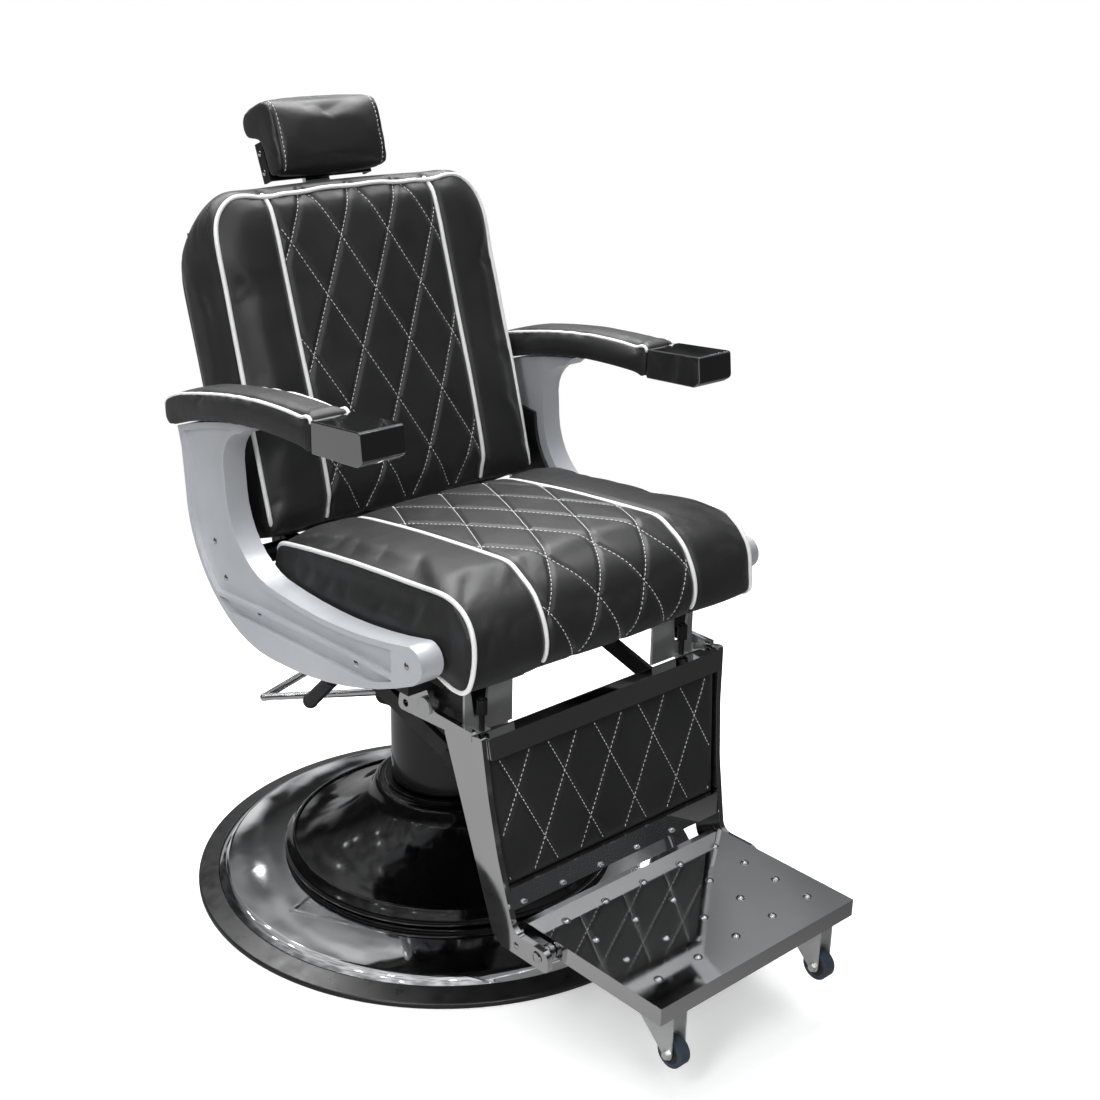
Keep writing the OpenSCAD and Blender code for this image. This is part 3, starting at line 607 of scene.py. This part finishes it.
def seam(gap, depth, width):
    """Relief of a sewn line: a narrow pull inwards."""
    return -depth * np.exp(-((gap / width) ** 2))


def padded_relief(x, half, cord_at, quilt, side_depth, line_depth):
    """Relief of a panel with a cord at cord_at on each side: a crown and quilted lines between the cords,
    a softer crown on each flank, and a channel for each cord."""
    inside = smoothstep(cord_at, cord_at - 6 * MM, np.abs(x))
    crown = 5 * MM * (1 - (x / cord_at) ** 2) * (np.abs(x) < cord_at)
    flank = np.abs(np.abs(x) - 0.5 * (cord_at + half)) / (0.5 * (half - cord_at))
    side = side_depth * np.clip(1 - flank**2, 0, 1) * (np.abs(x) >= cord_at)
    lines = inside * seam(quilt, line_depth, 4 * MM)
    cords = seam(np.abs(x) - cord_at, 4.5 * MM, 6 * MM)
    return crown + side + lines + cords


# ---------------------------------------------------------------- seat

SEAT_HALF = 242 * MM
SEAT_SEAM = 127 * MM
SEAT_BOARD = 464 * MM
SEAT_PROFILE = [
    (73, 467), (76, 480), (77, 506), (73, 526), (58, 540), (20, 549), (-40, 557), (-106, 564), (-170, 569),
    (-230, 573), (-280, 575), (-308, 568), (-327, 553), (-338, 532), (-341, 508), (-338, 484), (-330, 466),
    (-318, 459), (-300, 459), (-284, 463), (-268, 466), (-180, 466), (-60, 466), (55, 466),
]


def mm_points(points):
    return [(a * MM, b * MM) for a, b in points]


def nearest_along(cushion, a, b):
    """Distance along the profile of the place nearest to a point given in millimetres."""
    gap = np.hypot(cushion.profile[:, 0] - a * MM, cushion.profile[:, 1] - b * MM)
    return float(cushion.along[gap.argmin()])


def between(cushion, start, end, step=4 * MM, passing=None):
    """Evenly spaced distances along the profile from start to end, going by the third point."""
    low, high = start, end
    if passing is not None:
        if not min(low, high) <= passing <= max(low, high):
            if low < high:
                low += cushion.total
            else:
                high += cushion.total
    return np.linspace(low, high, max(int(abs(high - low) / step), 3))


def seat():
    middle = [(0, 1 * MM), (SEAT_SEAM, 1 * MM), (190 * MM, 4 * MM)]
    stations = swept_stations(SEAT_HALF, 7 * MM, 4 * MM, middle)
    cushion = Cushion("seat_cushion_soft", "turret", mm_points(SEAT_PROFILE), stations, full_below=SEAT_BOARD)
    cushion.swell(8 * MM, lambda p: smoothstep(SEAT_BOARD + 10 * MM, SEAT_BOARD + 4 * MM, p[:, 2]))
    cushion.refine()
    back = nearest_along(cushion, 73, 524)
    front = nearest_along(cushion, -328, 468)
    top = nearest_along(cushion, -106, 563)
    sewn = between(cushion, back, front, passing=top)
    low, high = min(sewn), max(sewn)
    quilt_start = nearest_along(cushion, -281, 574)

    def relief(x, along, facing):
        on_top = smoothstep(0.25, 0.6, facing)
        along = np.where(along < low - 0.02, along + cushion.total, along)
        used = on_top * smoothstep(low - 0.012, low + 0.004, along)
        used = used * smoothstep(high + 0.012, high - 0.004, along)
        quilt = quilt_distance(x, along, quilt_start)
        return used * padded_relief(x, SEAT_HALF, SEAT_SEAM, quilt, 4 * MM, 2.4 * MM)

    cushion.press(relief)
    tree = cushion.tree()
    for side in (-1, 1):
        label = "right" if side < 0 else "left"
        line = [(side * SEAT_SEAM, a) for a in sewn]
        points, _ = cushion.path(tree, line, lift=1.2 * MM)
        cushion.cord("seat_piping_inner_" + label, points)
        under = nearest_along(cushion, -270, 466)
        edge = between(cushion, nearest_along(cushion, 76, 506), under, passing=top)
        line = [(side * SEAT_HALF, a) for a in edge]
        points, _ = cushion.path(tree, line, corner=1.0, lift=0.8 * MM)
        cushion.cord("seat_piping_outer_" + label, points)
    runs = []
    for run in quilt_runs(SEAT_SEAM - 4 * MM, low, high, quilt_start):
        runs.append(cushion.path(tree, run, lift=0.15 * MM))
    made = stitches("seat_stitches", [r for r in runs if len(r[0]) > 3], cushion.matrix)
    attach(made, "turret")
    cushion.finish("seat_cushion")


# ---------------------------------------------------------------- back


def slope_matrix(foot, degrees):
    """Places a [x, depth, height] form at foot = (y, z) in millimetres, leaning back by degrees."""
    lean = Matrix.Rotation(math.radians(-degrees), 4, "X")
    return Matrix.Translation((0, foot[0] * MM, foot[1] * MM)) @ lean


BACK_FOOT = (83.7, 539)
BACK_TILT = 16
BACK_MATRIX = slope_matrix(BACK_FOOT, BACK_TILT)
BACK_HALF = 230 * MM
BACK_SEAM = 134 * MM
BACK_PROFILE = [
    (6, -12), (0, 4), (-3, 40), (-4, 90), (-3, 160), (0, 230), (2, 300), (4, 370), (8, 412), (18, 436),
    (36, 444), (60, 438), (84, 422), (101, 401), (108, 372), (109, 320), (108, 240), (108, 160), (107, 80),
    (105, 20), (98, -10), (60, -14), (24, -14),
]
BACK_INSETS = [(0, 2), (100, 2), (150, 2), (170, 2), (190, 2), (205, 3), (215, 3)]
BACK_BOTTOM = -14 * MM
BACK_CORNER = 60 * MM
BACK_TOP = 444 * MM
BACK_CROWN = 7 * MM


def corner_drop(x, half, corner):
    """How far an edge with rounded corners is below its middle at a place across it."""
    past = np.clip(np.abs(x) - (half - corner), 0, corner)
    return corner - np.sqrt(np.maximum(corner**2 - past**2, 0))


def back():
    stations = swept_stations(BACK_HALF, 2.5 * MM, 4 * MM, mm_points(BACK_INSETS))
    cushion = Cushion("back_cushion_soft", "backrest", mm_points(BACK_PROFILE), stations, BACK_MATRIX)
    points = coordinates(cushion.object)
    height = (points[:, 2] - BACK_BOTTOM) / (BACK_TOP - BACK_BOTTOM)
    squeeze = corner_drop(points[:, 0], BACK_HALF, BACK_CORNER) * smoothstep(0.55, 1.0, height)
    rise = BACK_CROWN * smoothstep(0.85, 1.0, height) * (1 - (points[:, 0] / BACK_HALF) ** 2)
    points[:, 2] += rise - squeeze
    set_coordinates(cushion.object, points)
    cushion.swell(7 * MM, lambda p: smoothstep(0.088, 0.1, p[:, 1]))
    cushion.refine()
    low = nearest_along(cushion, 0, 0)
    high = nearest_along(cushion, 18, 436)
    middle = nearest_along(cushion, -3, 160)
    sewn = between(cushion, low, high, passing=middle)
    low, high = min(sewn), max(sewn)

    def relief(x, along, facing):
        along = np.where(along < low - 0.03, along + cushion.total, along)
        used = smoothstep(0.25, 0.6, facing) * smoothstep(low - 0.02, low - 0.005, along)
        used = used * smoothstep(high + 0.012, high - 0.002, along)
        quilt = quilt_distance(x, along, high)
        return used * padded_relief(x, BACK_HALF, BACK_SEAM, quilt, 3 * MM, 2.6 * MM)

    cushion.press(relief)
    tree = cushion.tree()
    for side in (-1, 1):
        label = "right" if side < 0 else "left"
        points, _ = cushion.path(tree, [(side * BACK_SEAM, a) for a in sewn], lift=1.2 * MM)
        cushion.cord("back_piping_inner_" + label, points)
    cushion.cord("back_piping_edge", edge_path(tree, BACK_HALF, -8 * MM, BACK_TOP, BACK_CORNER, 30 * MM))
    runs = []
    for run in quilt_runs(BACK_SEAM - 4 * MM, low, high, high):
        runs.append(cushion.path(tree, run, lift=0.15 * MM))
    made = stitches("back_stitches", [r for r in runs if len(r[0]) > 3], cushion.matrix)
    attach(made, "backrest")
    cushion.finish("back_cushion")


def edge_path(tree, half, low, top, corner, depth):
    """Front edge of a cushion from one foot up, round the top corners and down to the other foot. Each
    place is looked for from depth inside the cushion, outwards and to the front."""
    spots = [((-half, h), (-1, 0)) for h in np.arange(low, top - corner, 4 * MM)]
    for side, turns in ((-1, np.arange(0, 91, 5)), (1, np.arange(90, -1, -5))):
        for turn in np.radians(turns):
            out = (side * math.cos(turn), math.sin(turn))
            spots.append(((side * (half - corner) + corner * out[0], top - corner + corner * out[1]), out))
        if side < 0:
            spots += [((x, top), (0, 1.5)) for x in np.arange(-half + corner + 0.004, half - corner, 4 * MM)]
    spots += [((half, h), (1, 0)) for h in np.arange(top - corner, low, -4 * MM)]
    points = []
    for (x, height), (out_x, out_z) in spots:
        start = Vector((x - out_x * depth, depth, height - out_z * depth))
        hit = tree.ray_cast(start, Vector((out_x, -1, out_z)).normalized())
        if hit[0] is not None:
            points.append(np.array(hit[0]) + np.array((out_x, -1, out_z)) * 0.7 * MM)
    return evened(np.array(points), 4)


def evened(points, reach):
    """Each point moved to the mean of its neighbours, so that a cord doesn't dip into every quilted line."""
    padded = np.concatenate([np.repeat(points[:1], reach, 0), points, np.repeat(points[-1:], reach, 0)])
    return np.mean([padded[k:k + len(points)] for k in range(2 * reach + 1)], axis=0)


SHELL_PUFF = 3.5 * MM
SHELL_BORDER = 1.6 * MM
SHELL_RIM = 4 * MM


def back_shell():
    """Upholstered panel that closes the back, slightly crowned, with a sewn border."""
    inverse = BACK_MATRIX.inverted()
    corners = [inverse @ v.co for v in NODES["back_cover"].data.vertices]
    depth_in, depth_out = min(c.y for c in corners), max(c.y for c in corners)
    bottom, top = min(c.z for c in corners), max(c.z for c in corners)
    half = max(c.x for c in corners)
    across, up = 61, 61
    vertices = []
    for layer, sign in ((depth_in, 0), (depth_out, 1)):
        for j in range(up):
            for i in range(across):
                u, v = 2 * i / (across - 1) - 1, 2 * j / (up - 1) - 1
                rim = (1 - u**6) * (1 - v**6)
                border = math.exp(-(((max(abs(u), abs(v)) - 0.9) / 0.02) ** 2))
                depth = layer + sign * (SHELL_PUFF * rim - SHELL_BORDER * border - SHELL_RIM * (1 - rim))
                vertices.append((u * half, depth, bottom + (v + 1) / 2 * (top - bottom)))
    made = make_object("back_panel_soft", vertices, slab_faces(across, up), SKIN, BACK_MATRIX)
    upholster(made, "backrest", "back_cover")


# ---------------------------------------------------------------- headrest

HEAD_MATRIX = slope_matrix((227.5, 940), 22)
HEAD_HALF = 90 * MM
HEAD_SEAM = 83 * MM
HEAD_PROFILE = [
    (10, 31), (2, 38), (-3, 60), (-6, 88), (-6, 112), (0, 126), (14, 132), (36, 132), (56, 130), (68, 122),
    (72, 108), (68, 96), (58, 90), (46, 86), (38, 78), (36, 60), (36, 42), (30, 31),
]


def headrest():
    stations = swept_stations(HEAD_HALF, 1.5 * MM, 4 * MM, [(0, 1.5 * MM), (60 * MM, 1.5 * MM)])
    cushion = Cushion("headrest_soft", "headrest", mm_points(HEAD_PROFILE), stations, HEAD_MATRIX, FINE_VOXEL)
    cushion.swell(4 * MM, lambda p: smoothstep(0.034, 0.036, p[:, 1]) * smoothstep(0.088, 0.08, p[:, 2]))
    cushion.refine(4)

    def relief(x, along, facing):
        crown = 2.5 * MM * np.clip(1 - (x / HEAD_SEAM) ** 2, 0, 1)
        pull = seam(np.abs(x) - HEAD_SEAM, 2 * MM, 3 * MM)
        return crown * smoothstep(0.2, 0.7, facing) + pull * smoothstep(0.2, 0.5, facing)

    cushion.press(relief)
    tree = cushion.tree()
    start, end = nearest_along(cushion, 10, 31), nearest_along(cushion, 68, 96)
    line = between(cushion, start, end, passing=nearest_along(cushion, -6, 112))
    runs = []
    for side in (-1, 1):
        spots = [(side * (HEAD_SEAM - 3 * MM), a) for a in line]
        runs.append(cushion.path(tree, spots, deep=14 * MM, lift=0.3 * MM))
    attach(stitches("headrest_stitches", runs, cushion.matrix), "headrest")
    cushion.finish("headrest_pad")


# ---------------------------------------------------------------- arm pads

PAD_CENTRE = (-70, -143)
PAD_UNDER = 856
PAD_TOP = 896
PAD_TIP = [(203, 667.5), (213, 668.5), (218, 675), (220, 690), (214, 703)]


def pad_arc(radius, first, last, count):
    turns = np.radians(np.linspace(first, last, count))
    return [(PAD_CENTRE[0] + radius * math.cos(t), PAD_CENTRE[1] + radius * math.sin(t)) for t in turns]


def pad_taper(depth):
    """Share of its full width that a pad has at a depth: it narrows to the back."""
    return 1 - 0.16 * smoothstep(60 * MM, 210 * MM, depth)


def on_casting(points):
    """1 where a pad lies on its casting, falling to 0 above."""
    over = np.hypot(points[:, 1] - PAD_CENTRE[0] * MM, points[:, 2] - PAD_CENTRE[1] * MM)
    return smoothstep(5 * MM, 0, over - (PAD_UNDER + 2) * MM)


def arm_pad(side, label):
    low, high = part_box("arm_pad_" + label)
    middle = (low.x + high.x) / 2
    half = (high.x - low.x) / 2 - 0.5 * MM
    profile = pad_arc(PAD_UNDER, 93.2, 72.2, 14) + PAD_TIP + pad_arc(PAD_TOP, 73.4, 93.2, 14)
    stations = swept_stations(half, 0.6 * MM, 2.5 * MM, [(0, 0.6 * MM)])
    matrix = Matrix.Translation((middle, 0, 0))
    cushion = Cushion("arm_pad_soft_" + label, "turret", mm_points(profile), stations, matrix, FINE_VOXEL)
    cushion.swell(3.5 * MM, on_casting)
    cushion.refine(4)
    points = coordinates(cushion.object)
    points[:, 0] *= pad_taper(points[:, 1])
    set_coordinates(cushion.object, points)

    def relief(x, along, facing):
        flat = seam(np.abs(x) - (half - 6 * MM), 1.6 * MM, 3 * MM)
        return flat * smoothstep(0.5, 0.8, facing)

    cushion.press(relief)
    tree = cushion.tree()
    start = nearest_along(cushion, -119, 748)
    line = between(cushion, start, nearest_along(cushion, 214, 690), passing=nearest_along(cushion, 20, 747))
    for edge in (-1, 1):
        name = "inner" if edge * side < 0 else "outer"
        spots = []
        for along in line:
            point, _ = cushion.at(along)
            spots.append((edge * half * float(pad_taper(point[0])), along))
        points, _ = cushion.path(tree, spots, corner=1.0, deep=12 * MM, lift=0.5 * MM)
        cushion.cord("arm_piping_" + name + "_" + label, points, 2.3 * MM)
    cushion.finish("arm_pad_" + label)


# ---------------------------------------------------------------- legrest panel

LEG_TILT = math.degrees(math.atan2(24, 193))
LEG_MATRIX = slope_matrix((-337, 191), LEG_TILT)
LEG_QUILT_START = 117 * MM
LEG_PUFF = 3.0 * MM
LEG_CHANNEL = 2.2 * MM


def leg_panel():
    """Quilted front of the legrest, a shallow crowned pad between the chrome rails."""
    inverse = LEG_MATRIX.inverted()
    corners = [inverse @ v.co for v in NODES["leg_pad"].data.vertices]
    top = max(c.z for c in corners)
    deep = max(c.y for c in corners)
    half_low = max(c.x for c in corners if c.z < 0.01)
    half_high = max(c.x for c in corners if c.z > top - 0.01)
    across, up = 181, 91
    vertices = []
    for layer in (0, 1):
        for j in range(up):
            for i in range(across):
                u, v = 2 * i / (across - 1) - 1, j / (up - 1)
                half = half_low + (half_high - half_low) * v - 0.6 * MM
                x, height = u * half, v * top
                if layer:
                    vertices.append((x, deep, height))
                    continue
                rim = min(half - abs(x), height, top - height)
                puff = LEG_PUFF * (1 - math.exp(-(max(rim, 0) / (8 * MM))))
                gap = float(quilt_distance(np.array(x), np.array(height), LEG_QUILT_START))
                line = LEG_CHANNEL * math.exp(-((gap / (3.2 * MM)) ** 2)) * min(rim / (10 * MM), 1)
                vertices.append((x, LEG_CHANNEL - puff + line, height))
    made = make_object("leg_panel_soft", vertices, slab_faces(across, up), SKIN)
    tree = BVHTree.FromPolygons([v.co for v in made.data.vertices], [p.vertices for p in made.data.polygons])
    runs = []
    for run in quilt_runs(half_high, 3 * MM, top - 3 * MM, LEG_QUILT_START):
        points = []
        for x, height in run:
            half = half_low + (half_high - half_low) * height / top - 4 * MM
            hit = tree.ray_cast(Vector((x, -0.05, height)), Vector((0, 1, 0)))
            if abs(x) < half and hit[0] is not None:
                points.append(np.array(hit[0]) + np.array((0, -0.15 * MM, 0)))
        if len(points) > 3:
            points = np.array(points)
            runs.append((points, np.tile((0.0, -1.0, 0.0), (len(points), 1))))
    sewn = stitches("leg_stitches", runs, LEG_MATRIX)
    made.data.transform(LEG_MATRIX)
    upholster(made, "legrest", "leg_pad")
    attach(sewn, "legrest")


# ---------------------------------------------------------------- hard parts

EDGE_WIDTH = {
    "arm_left": 1.0, "arm_right": 1.0, "arm_cap_left": 2.6, "arm_cap_right": 2.6, "side_bar_left": 1.4,
    "side_bar_right": 1.4, "foot_tray": 1.2, "top_rail": 1.4, "bottom_rail": 1.4, "lever_grip": 1.5,
    "pump_pedal": 0.4, "seat_frame": 1.0, "floor_ring": 0.6, "back_frame": 1.0,
}
PLAIN_EDGE = 0.5
SAME_PLACE = 0.02 * MM
SAME_PLANE = math.radians(0.6)
SHARP_EDGE = math.radians(35)
FLAT_SIDED = ("foot_tray", "top_rail", "bottom_rail", "leg_board", "seat_board", "back_board")


LUG_REACH = 189 * MM
LUG_LOW, LUG_HIGH = 300 * MM, 340 * MM
LUG_BACK = -200 * MM


def blacken_lug(node):
    """The lug and pin inside a side bar are black, and the bar itself is chrome."""
    node.data.materials.append(FINISHES["satin_black"])
    for polygon in node.data.polygons:
        place = polygon.center
        if abs(place.x) < LUG_REACH and LUG_LOW < place.z < LUG_HIGH and place.y < LUG_BACK:
            polygon.material_index = 1


def finish_hard_parts():
    """Gives every CAD node its finish, and small rounded edges where it has sharp ones."""
    for name, node in NODES.items():
        node.data.materials.clear()
        node.data.materials.append(FINISHES[SLOT_OF[name]])
        if node.hide_render:
            continue
        weld = node.modifiers.new("weld", "WELD")
        weld.merge_threshold = SAME_PLACE
        flatten = node.modifiers.new("flatten", "DECIMATE")
        flatten.decimate_type = "DISSOLVE"
        flatten.angle_limit = SAME_PLANE
        flatten.delimit = {"MATERIAL"}
        bevel = node.modifiers.new("edges", "BEVEL")
        bevel.width = EDGE_WIDTH.get(name, PLAIN_EDGE) * MM
        bevel.segments = 2
        bevel.limit_method = "ANGLE"
        bevel.angle_limit = SHARP_EDGE
        bevel.use_clamp_overlap = True
        flat = name in FLAT_SIDED
        if not flat:
            shade = node.modifiers.new("shade", "WEIGHTED_NORMAL")
            shade.keep_sharp = False
        for polygon in node.data.polygons:
            polygon.use_smooth = not flat
    for name in ("side_bar_left", "side_bar_right"):
        blacken_lug(NODES[name])


# ---------------------------------------------------------------- room

ROOM_CEILING = 0.62
ROOM_WALLS = 0.035
FLOOR_FADE_START, FLOOR_FADE_END = 0.75, 1.6
FLOOR_NEAR_GREY, FLOOR_FAR_GREY = 0.34, 0.03
TOP_LIGHT = {"place": (0.4, 1.1, 3.0), "aim": (0, 0, 0.2), "size": (3.2, 2.2), "power": 190}
KEY_LIGHT = {"place": (-2.4, -1.2, 2.0), "aim": (0, 0, 0.5), "size": (0.5, 1.6), "power": 34}
FILL_LIGHT = {"place": (-1.2, -3.0, 2.4), "aim": (0, 0, 0.5), "size": (1.4, 1.4), "power": 34}
SPARK_LIGHT = {"place": (0.3, -0.9, 3.2), "aim": (0, 0, 0.3), "size": (0.12, 0.12), "power": 3.5}


def polished_pieces():
    """The chromed and enamelled pieces, which the softboxes leave to the light of the room."""
    group = bpy.data.collections.new("polished")
    for name, node in NODES.items():
        if SLOT_OF[name] in ("mirror_chrome", "dark_chrome", "gloss_black"):
            group.objects.link(node)
    for item in group.collection_objects:
        item.light_linking.link_state = "EXCLUDE"
    return group


def softbox(name, place, aim, size, power, left_out=None):
    data = bpy.data.lights.new(name, "AREA")
    data.shape = "RECTANGLE"
    data.size, data.size_y = size
    data.energy = power
    light = bpy.data.objects.new(name, data)
    light.light_linking.receiver_collection = left_out
    bpy.context.scene.collection.objects.link(light)
    light.location = place
    light.rotation_euler = (Vector(aim) - Vector(place)).to_track_quat("-Z", "Y").to_euler()


def pale_floor():
    """A white floor that fades out into the white backdrop, and looks greyer in polished parts."""
    matte = Finish("pale_floor", (0.95, 0.95, 0.95), 0.7)
    matte.vary_colour(2, 0.01).vary_roughness(12, 0.05)
    shader, output = matte.shader, matte.tree.nodes["Material Output"]
    matte.set(Emission_Color=(1, 1, 1, 1), Emission_Strength=0.35)
    corners = [(-9, -9, 0), (9, -9, 0), (9, 9, 0), (-9, 9, 0)]
    ground = make_object("floor", corners, [(0, 1, 2, 3)], matte.material)
    ground.location.z = -0.4 * MM
    distance = matte.add("ShaderNodeVectorMath")
    distance.operation = "LENGTH"
    matte.link(matte.place, distance.inputs[0])
    fade = matte.ranged(distance.outputs["Value"], 0, 1, FLOOR_FADE_START, FLOOR_FADE_END)
    clear = matte.add("ShaderNodeBsdfTransparent")
    edge = matte.add("ShaderNodeMixShader")
    matte.link(fade, edge.inputs[0])
    matte.link(shader.outputs[0], edge.inputs[1])
    matte.link(clear.outputs[0], edge.inputs[2])
    side = matte.add("ShaderNodeVectorMath")
    side.operation = "DOT_PRODUCT"
    side.inputs[1].default_value = (0.64, -0.77, 0)
    matte.link(matte.place, side.inputs[0])
    grey = matte.add("ShaderNodeEmission")
    shade = matte.ranged(side.outputs["Value"], FLOOR_NEAR_GREY, FLOOR_FAR_GREY, 0.0, 1.0)
    matte.link(shade, grey.inputs["Strength"])
    path = matte.add("ShaderNodeLightPath")
    seen = matte.add("ShaderNodeMixShader")
    matte.link(path.outputs["Is Glossy Ray"], seen.inputs[0])
    matte.link(edge.outputs[0], seen.inputs[1])
    matte.link(grey.outputs[0], seen.inputs[2])
    matte.link(seen.outputs[0], output.inputs["Surface"])


def room_light():
    """A white backdrop for the camera. Everything else sees a dim room with a bright, cloudy ceiling, small
    lamps in it, and a few bright streaks low down behind the chair."""
    world = bpy.data.worlds.new("studio")
    bpy.context.scene.world = world
    world.use_nodes = True
    nodes, links = world.node_tree.nodes, world.node_tree.links

    def math_node(kind, first, second):
        node = nodes.new("ShaderNodeMath")
        node.operation = kind
        for socket, value in zip(node.inputs, (first, second)):
            if isinstance(value, (int, float)):
                socket.default_value = value
            else:
                links.new(value, socket)
        return node.outputs[0]

    def ramp_node(source, low, high, start, end):
        node = nodes.new("ShaderNodeMapRange")
        for name, value in zip(("From Min", "From Max", "To Min", "To Max"), (start, end, low, high)):
            node.inputs[name].default_value = value
        links.new(source, node.inputs["Value"])
        return node.outputs["Result"]

    backdrop = nodes["Background"]
    backdrop.inputs["Color"].default_value = (1, 1, 1, 1)
    room = nodes.new("ShaderNodeBackground")
    room.inputs["Color"].default_value = (0.97, 0.985, 1, 1)
    place = nodes.new("ShaderNodeTexCoord")
    split = nodes.new("ShaderNodeSeparateXYZ")
    links.new(place.outputs["Generated"], split.inputs["Vector"])
    east, north, height = split.outputs["X"], split.outputs["Y"], split.outputs["Z"]
    ceiling = ramp_node(height, ROOM_WALLS, ROOM_CEILING, 0.42, 0.9)
    turn = math_node("ARCTAN2", east, north)
    window = math_node("MULTIPLY", ramp_node(turn, 0, 1, math.radians(48), math.radians(40)),
                       ramp_node(height, 1, 0, 0.38, 0.5))
    window = math_node("MULTIPLY", window, ramp_node(turn, 0, 1, math.radians(2), math.radians(12)))
    mapping = nodes.new("ShaderNodeMapping")
    mapping.inputs["Scale"].default_value = (13, 13, 3.5)
    noise = nodes.new("ShaderNodeTexNoise")
    noise.inputs["Scale"].default_value = 1
    noise.inputs["Detail"].default_value = 1
    links.new(place.outputs["Generated"], mapping.inputs["Vector"])
    links.new(mapping.outputs["Vector"], noise.inputs["Vector"])
    streak = math_node("MULTIPLY", ramp_node(noise.outputs["Fac"], 0, 0.7, 0.44, 0.6), window)
    lamps = nodes.new("ShaderNodeTexVoronoi")
    lamps.inputs["Scale"].default_value = 7
    links.new(place.outputs["Generated"], lamps.inputs["Vector"])
    spot = ramp_node(lamps.outputs["Distance"], 9, 0, 0.1, 0.13)
    lamp = math_node("MULTIPLY", spot, ramp_node(height, 0, 1, 0.5, 0.6))
    cloud = math_node("MULTIPLY", ceiling, ramp_node(noise.outputs["Fac"], 0.55, 1.35, 0.38, 0.62))
    links.new(math_node("ADD", math_node("ADD", cloud, lamp), streak), room.inputs["Strength"])
    path = nodes.new("ShaderNodeLightPath")
    mix = nodes.new("ShaderNodeMixShader")
    links.new(path.outputs["Is Camera Ray"], mix.inputs["Fac"])
    links.new(room.outputs["Background"], mix.inputs[1])
    links.new(backdrop.outputs["Background"], mix.inputs[2])
    links.new(mix.outputs["Shader"], nodes["World Output"].inputs["Surface"])


def softboxes():
    """Three large lights for the upholstery and castings, and a small one that also sparks in the chrome."""
    polished = polished_pieces()
    softbox("top", **TOP_LIGHT, left_out=polished)
    softbox("key", **KEY_LIGHT, left_out=polished)
    softbox("fill", **FILL_LIGHT, left_out=polished)
    softbox("spark", **SPARK_LIGHT)


CAMERA_PLACE = (-1.3361, -1.6465, 1.2939)
CAMERA_YAW, CAMERA_PITCH, CAMERA_ROLL = 42.754, -20.87, 1.289
CAMERA_LENS = 54.47
CAMERA_SENSOR = 36


def camera():
    """Looks at the chair from its front right, a little above it."""
    yaw, pitch, roll = (math.radians(angle) for angle in (CAMERA_YAW, CAMERA_PITCH, CAMERA_ROLL))
    ahead = Vector((math.sin(yaw) * math.cos(pitch), math.cos(yaw) * math.cos(pitch), math.sin(pitch)))
    level = Vector((math.cos(yaw), -math.sin(yaw), 0))
    above = level.cross(ahead)
    right = level * math.cos(roll) + above * math.sin(roll)
    top = above * math.cos(roll) - level * math.sin(roll)
    data = bpy.data.cameras.new("camera")
    data.sensor_width = CAMERA_SENSOR
    data.lens = CAMERA_LENS
    view = bpy.data.objects.new("camera", data)
    bpy.context.scene.collection.objects.link(view)
    turn = Matrix((right, top, -ahead)).transposed().to_4x4()
    view.matrix_world = Matrix.Translation(CAMERA_PLACE) @ turn
    bpy.context.scene.camera = view


seat()
back()
back_shell()
headrest()
for side, label in ((1, "left"), (-1, "right")):
    arm_pad(side, label)
leg_panel()
finish_hard_parts()
pale_floor()
room_light()
softboxes()
camera()
bpy.context.scene.view_settings.view_transform = "Standard"
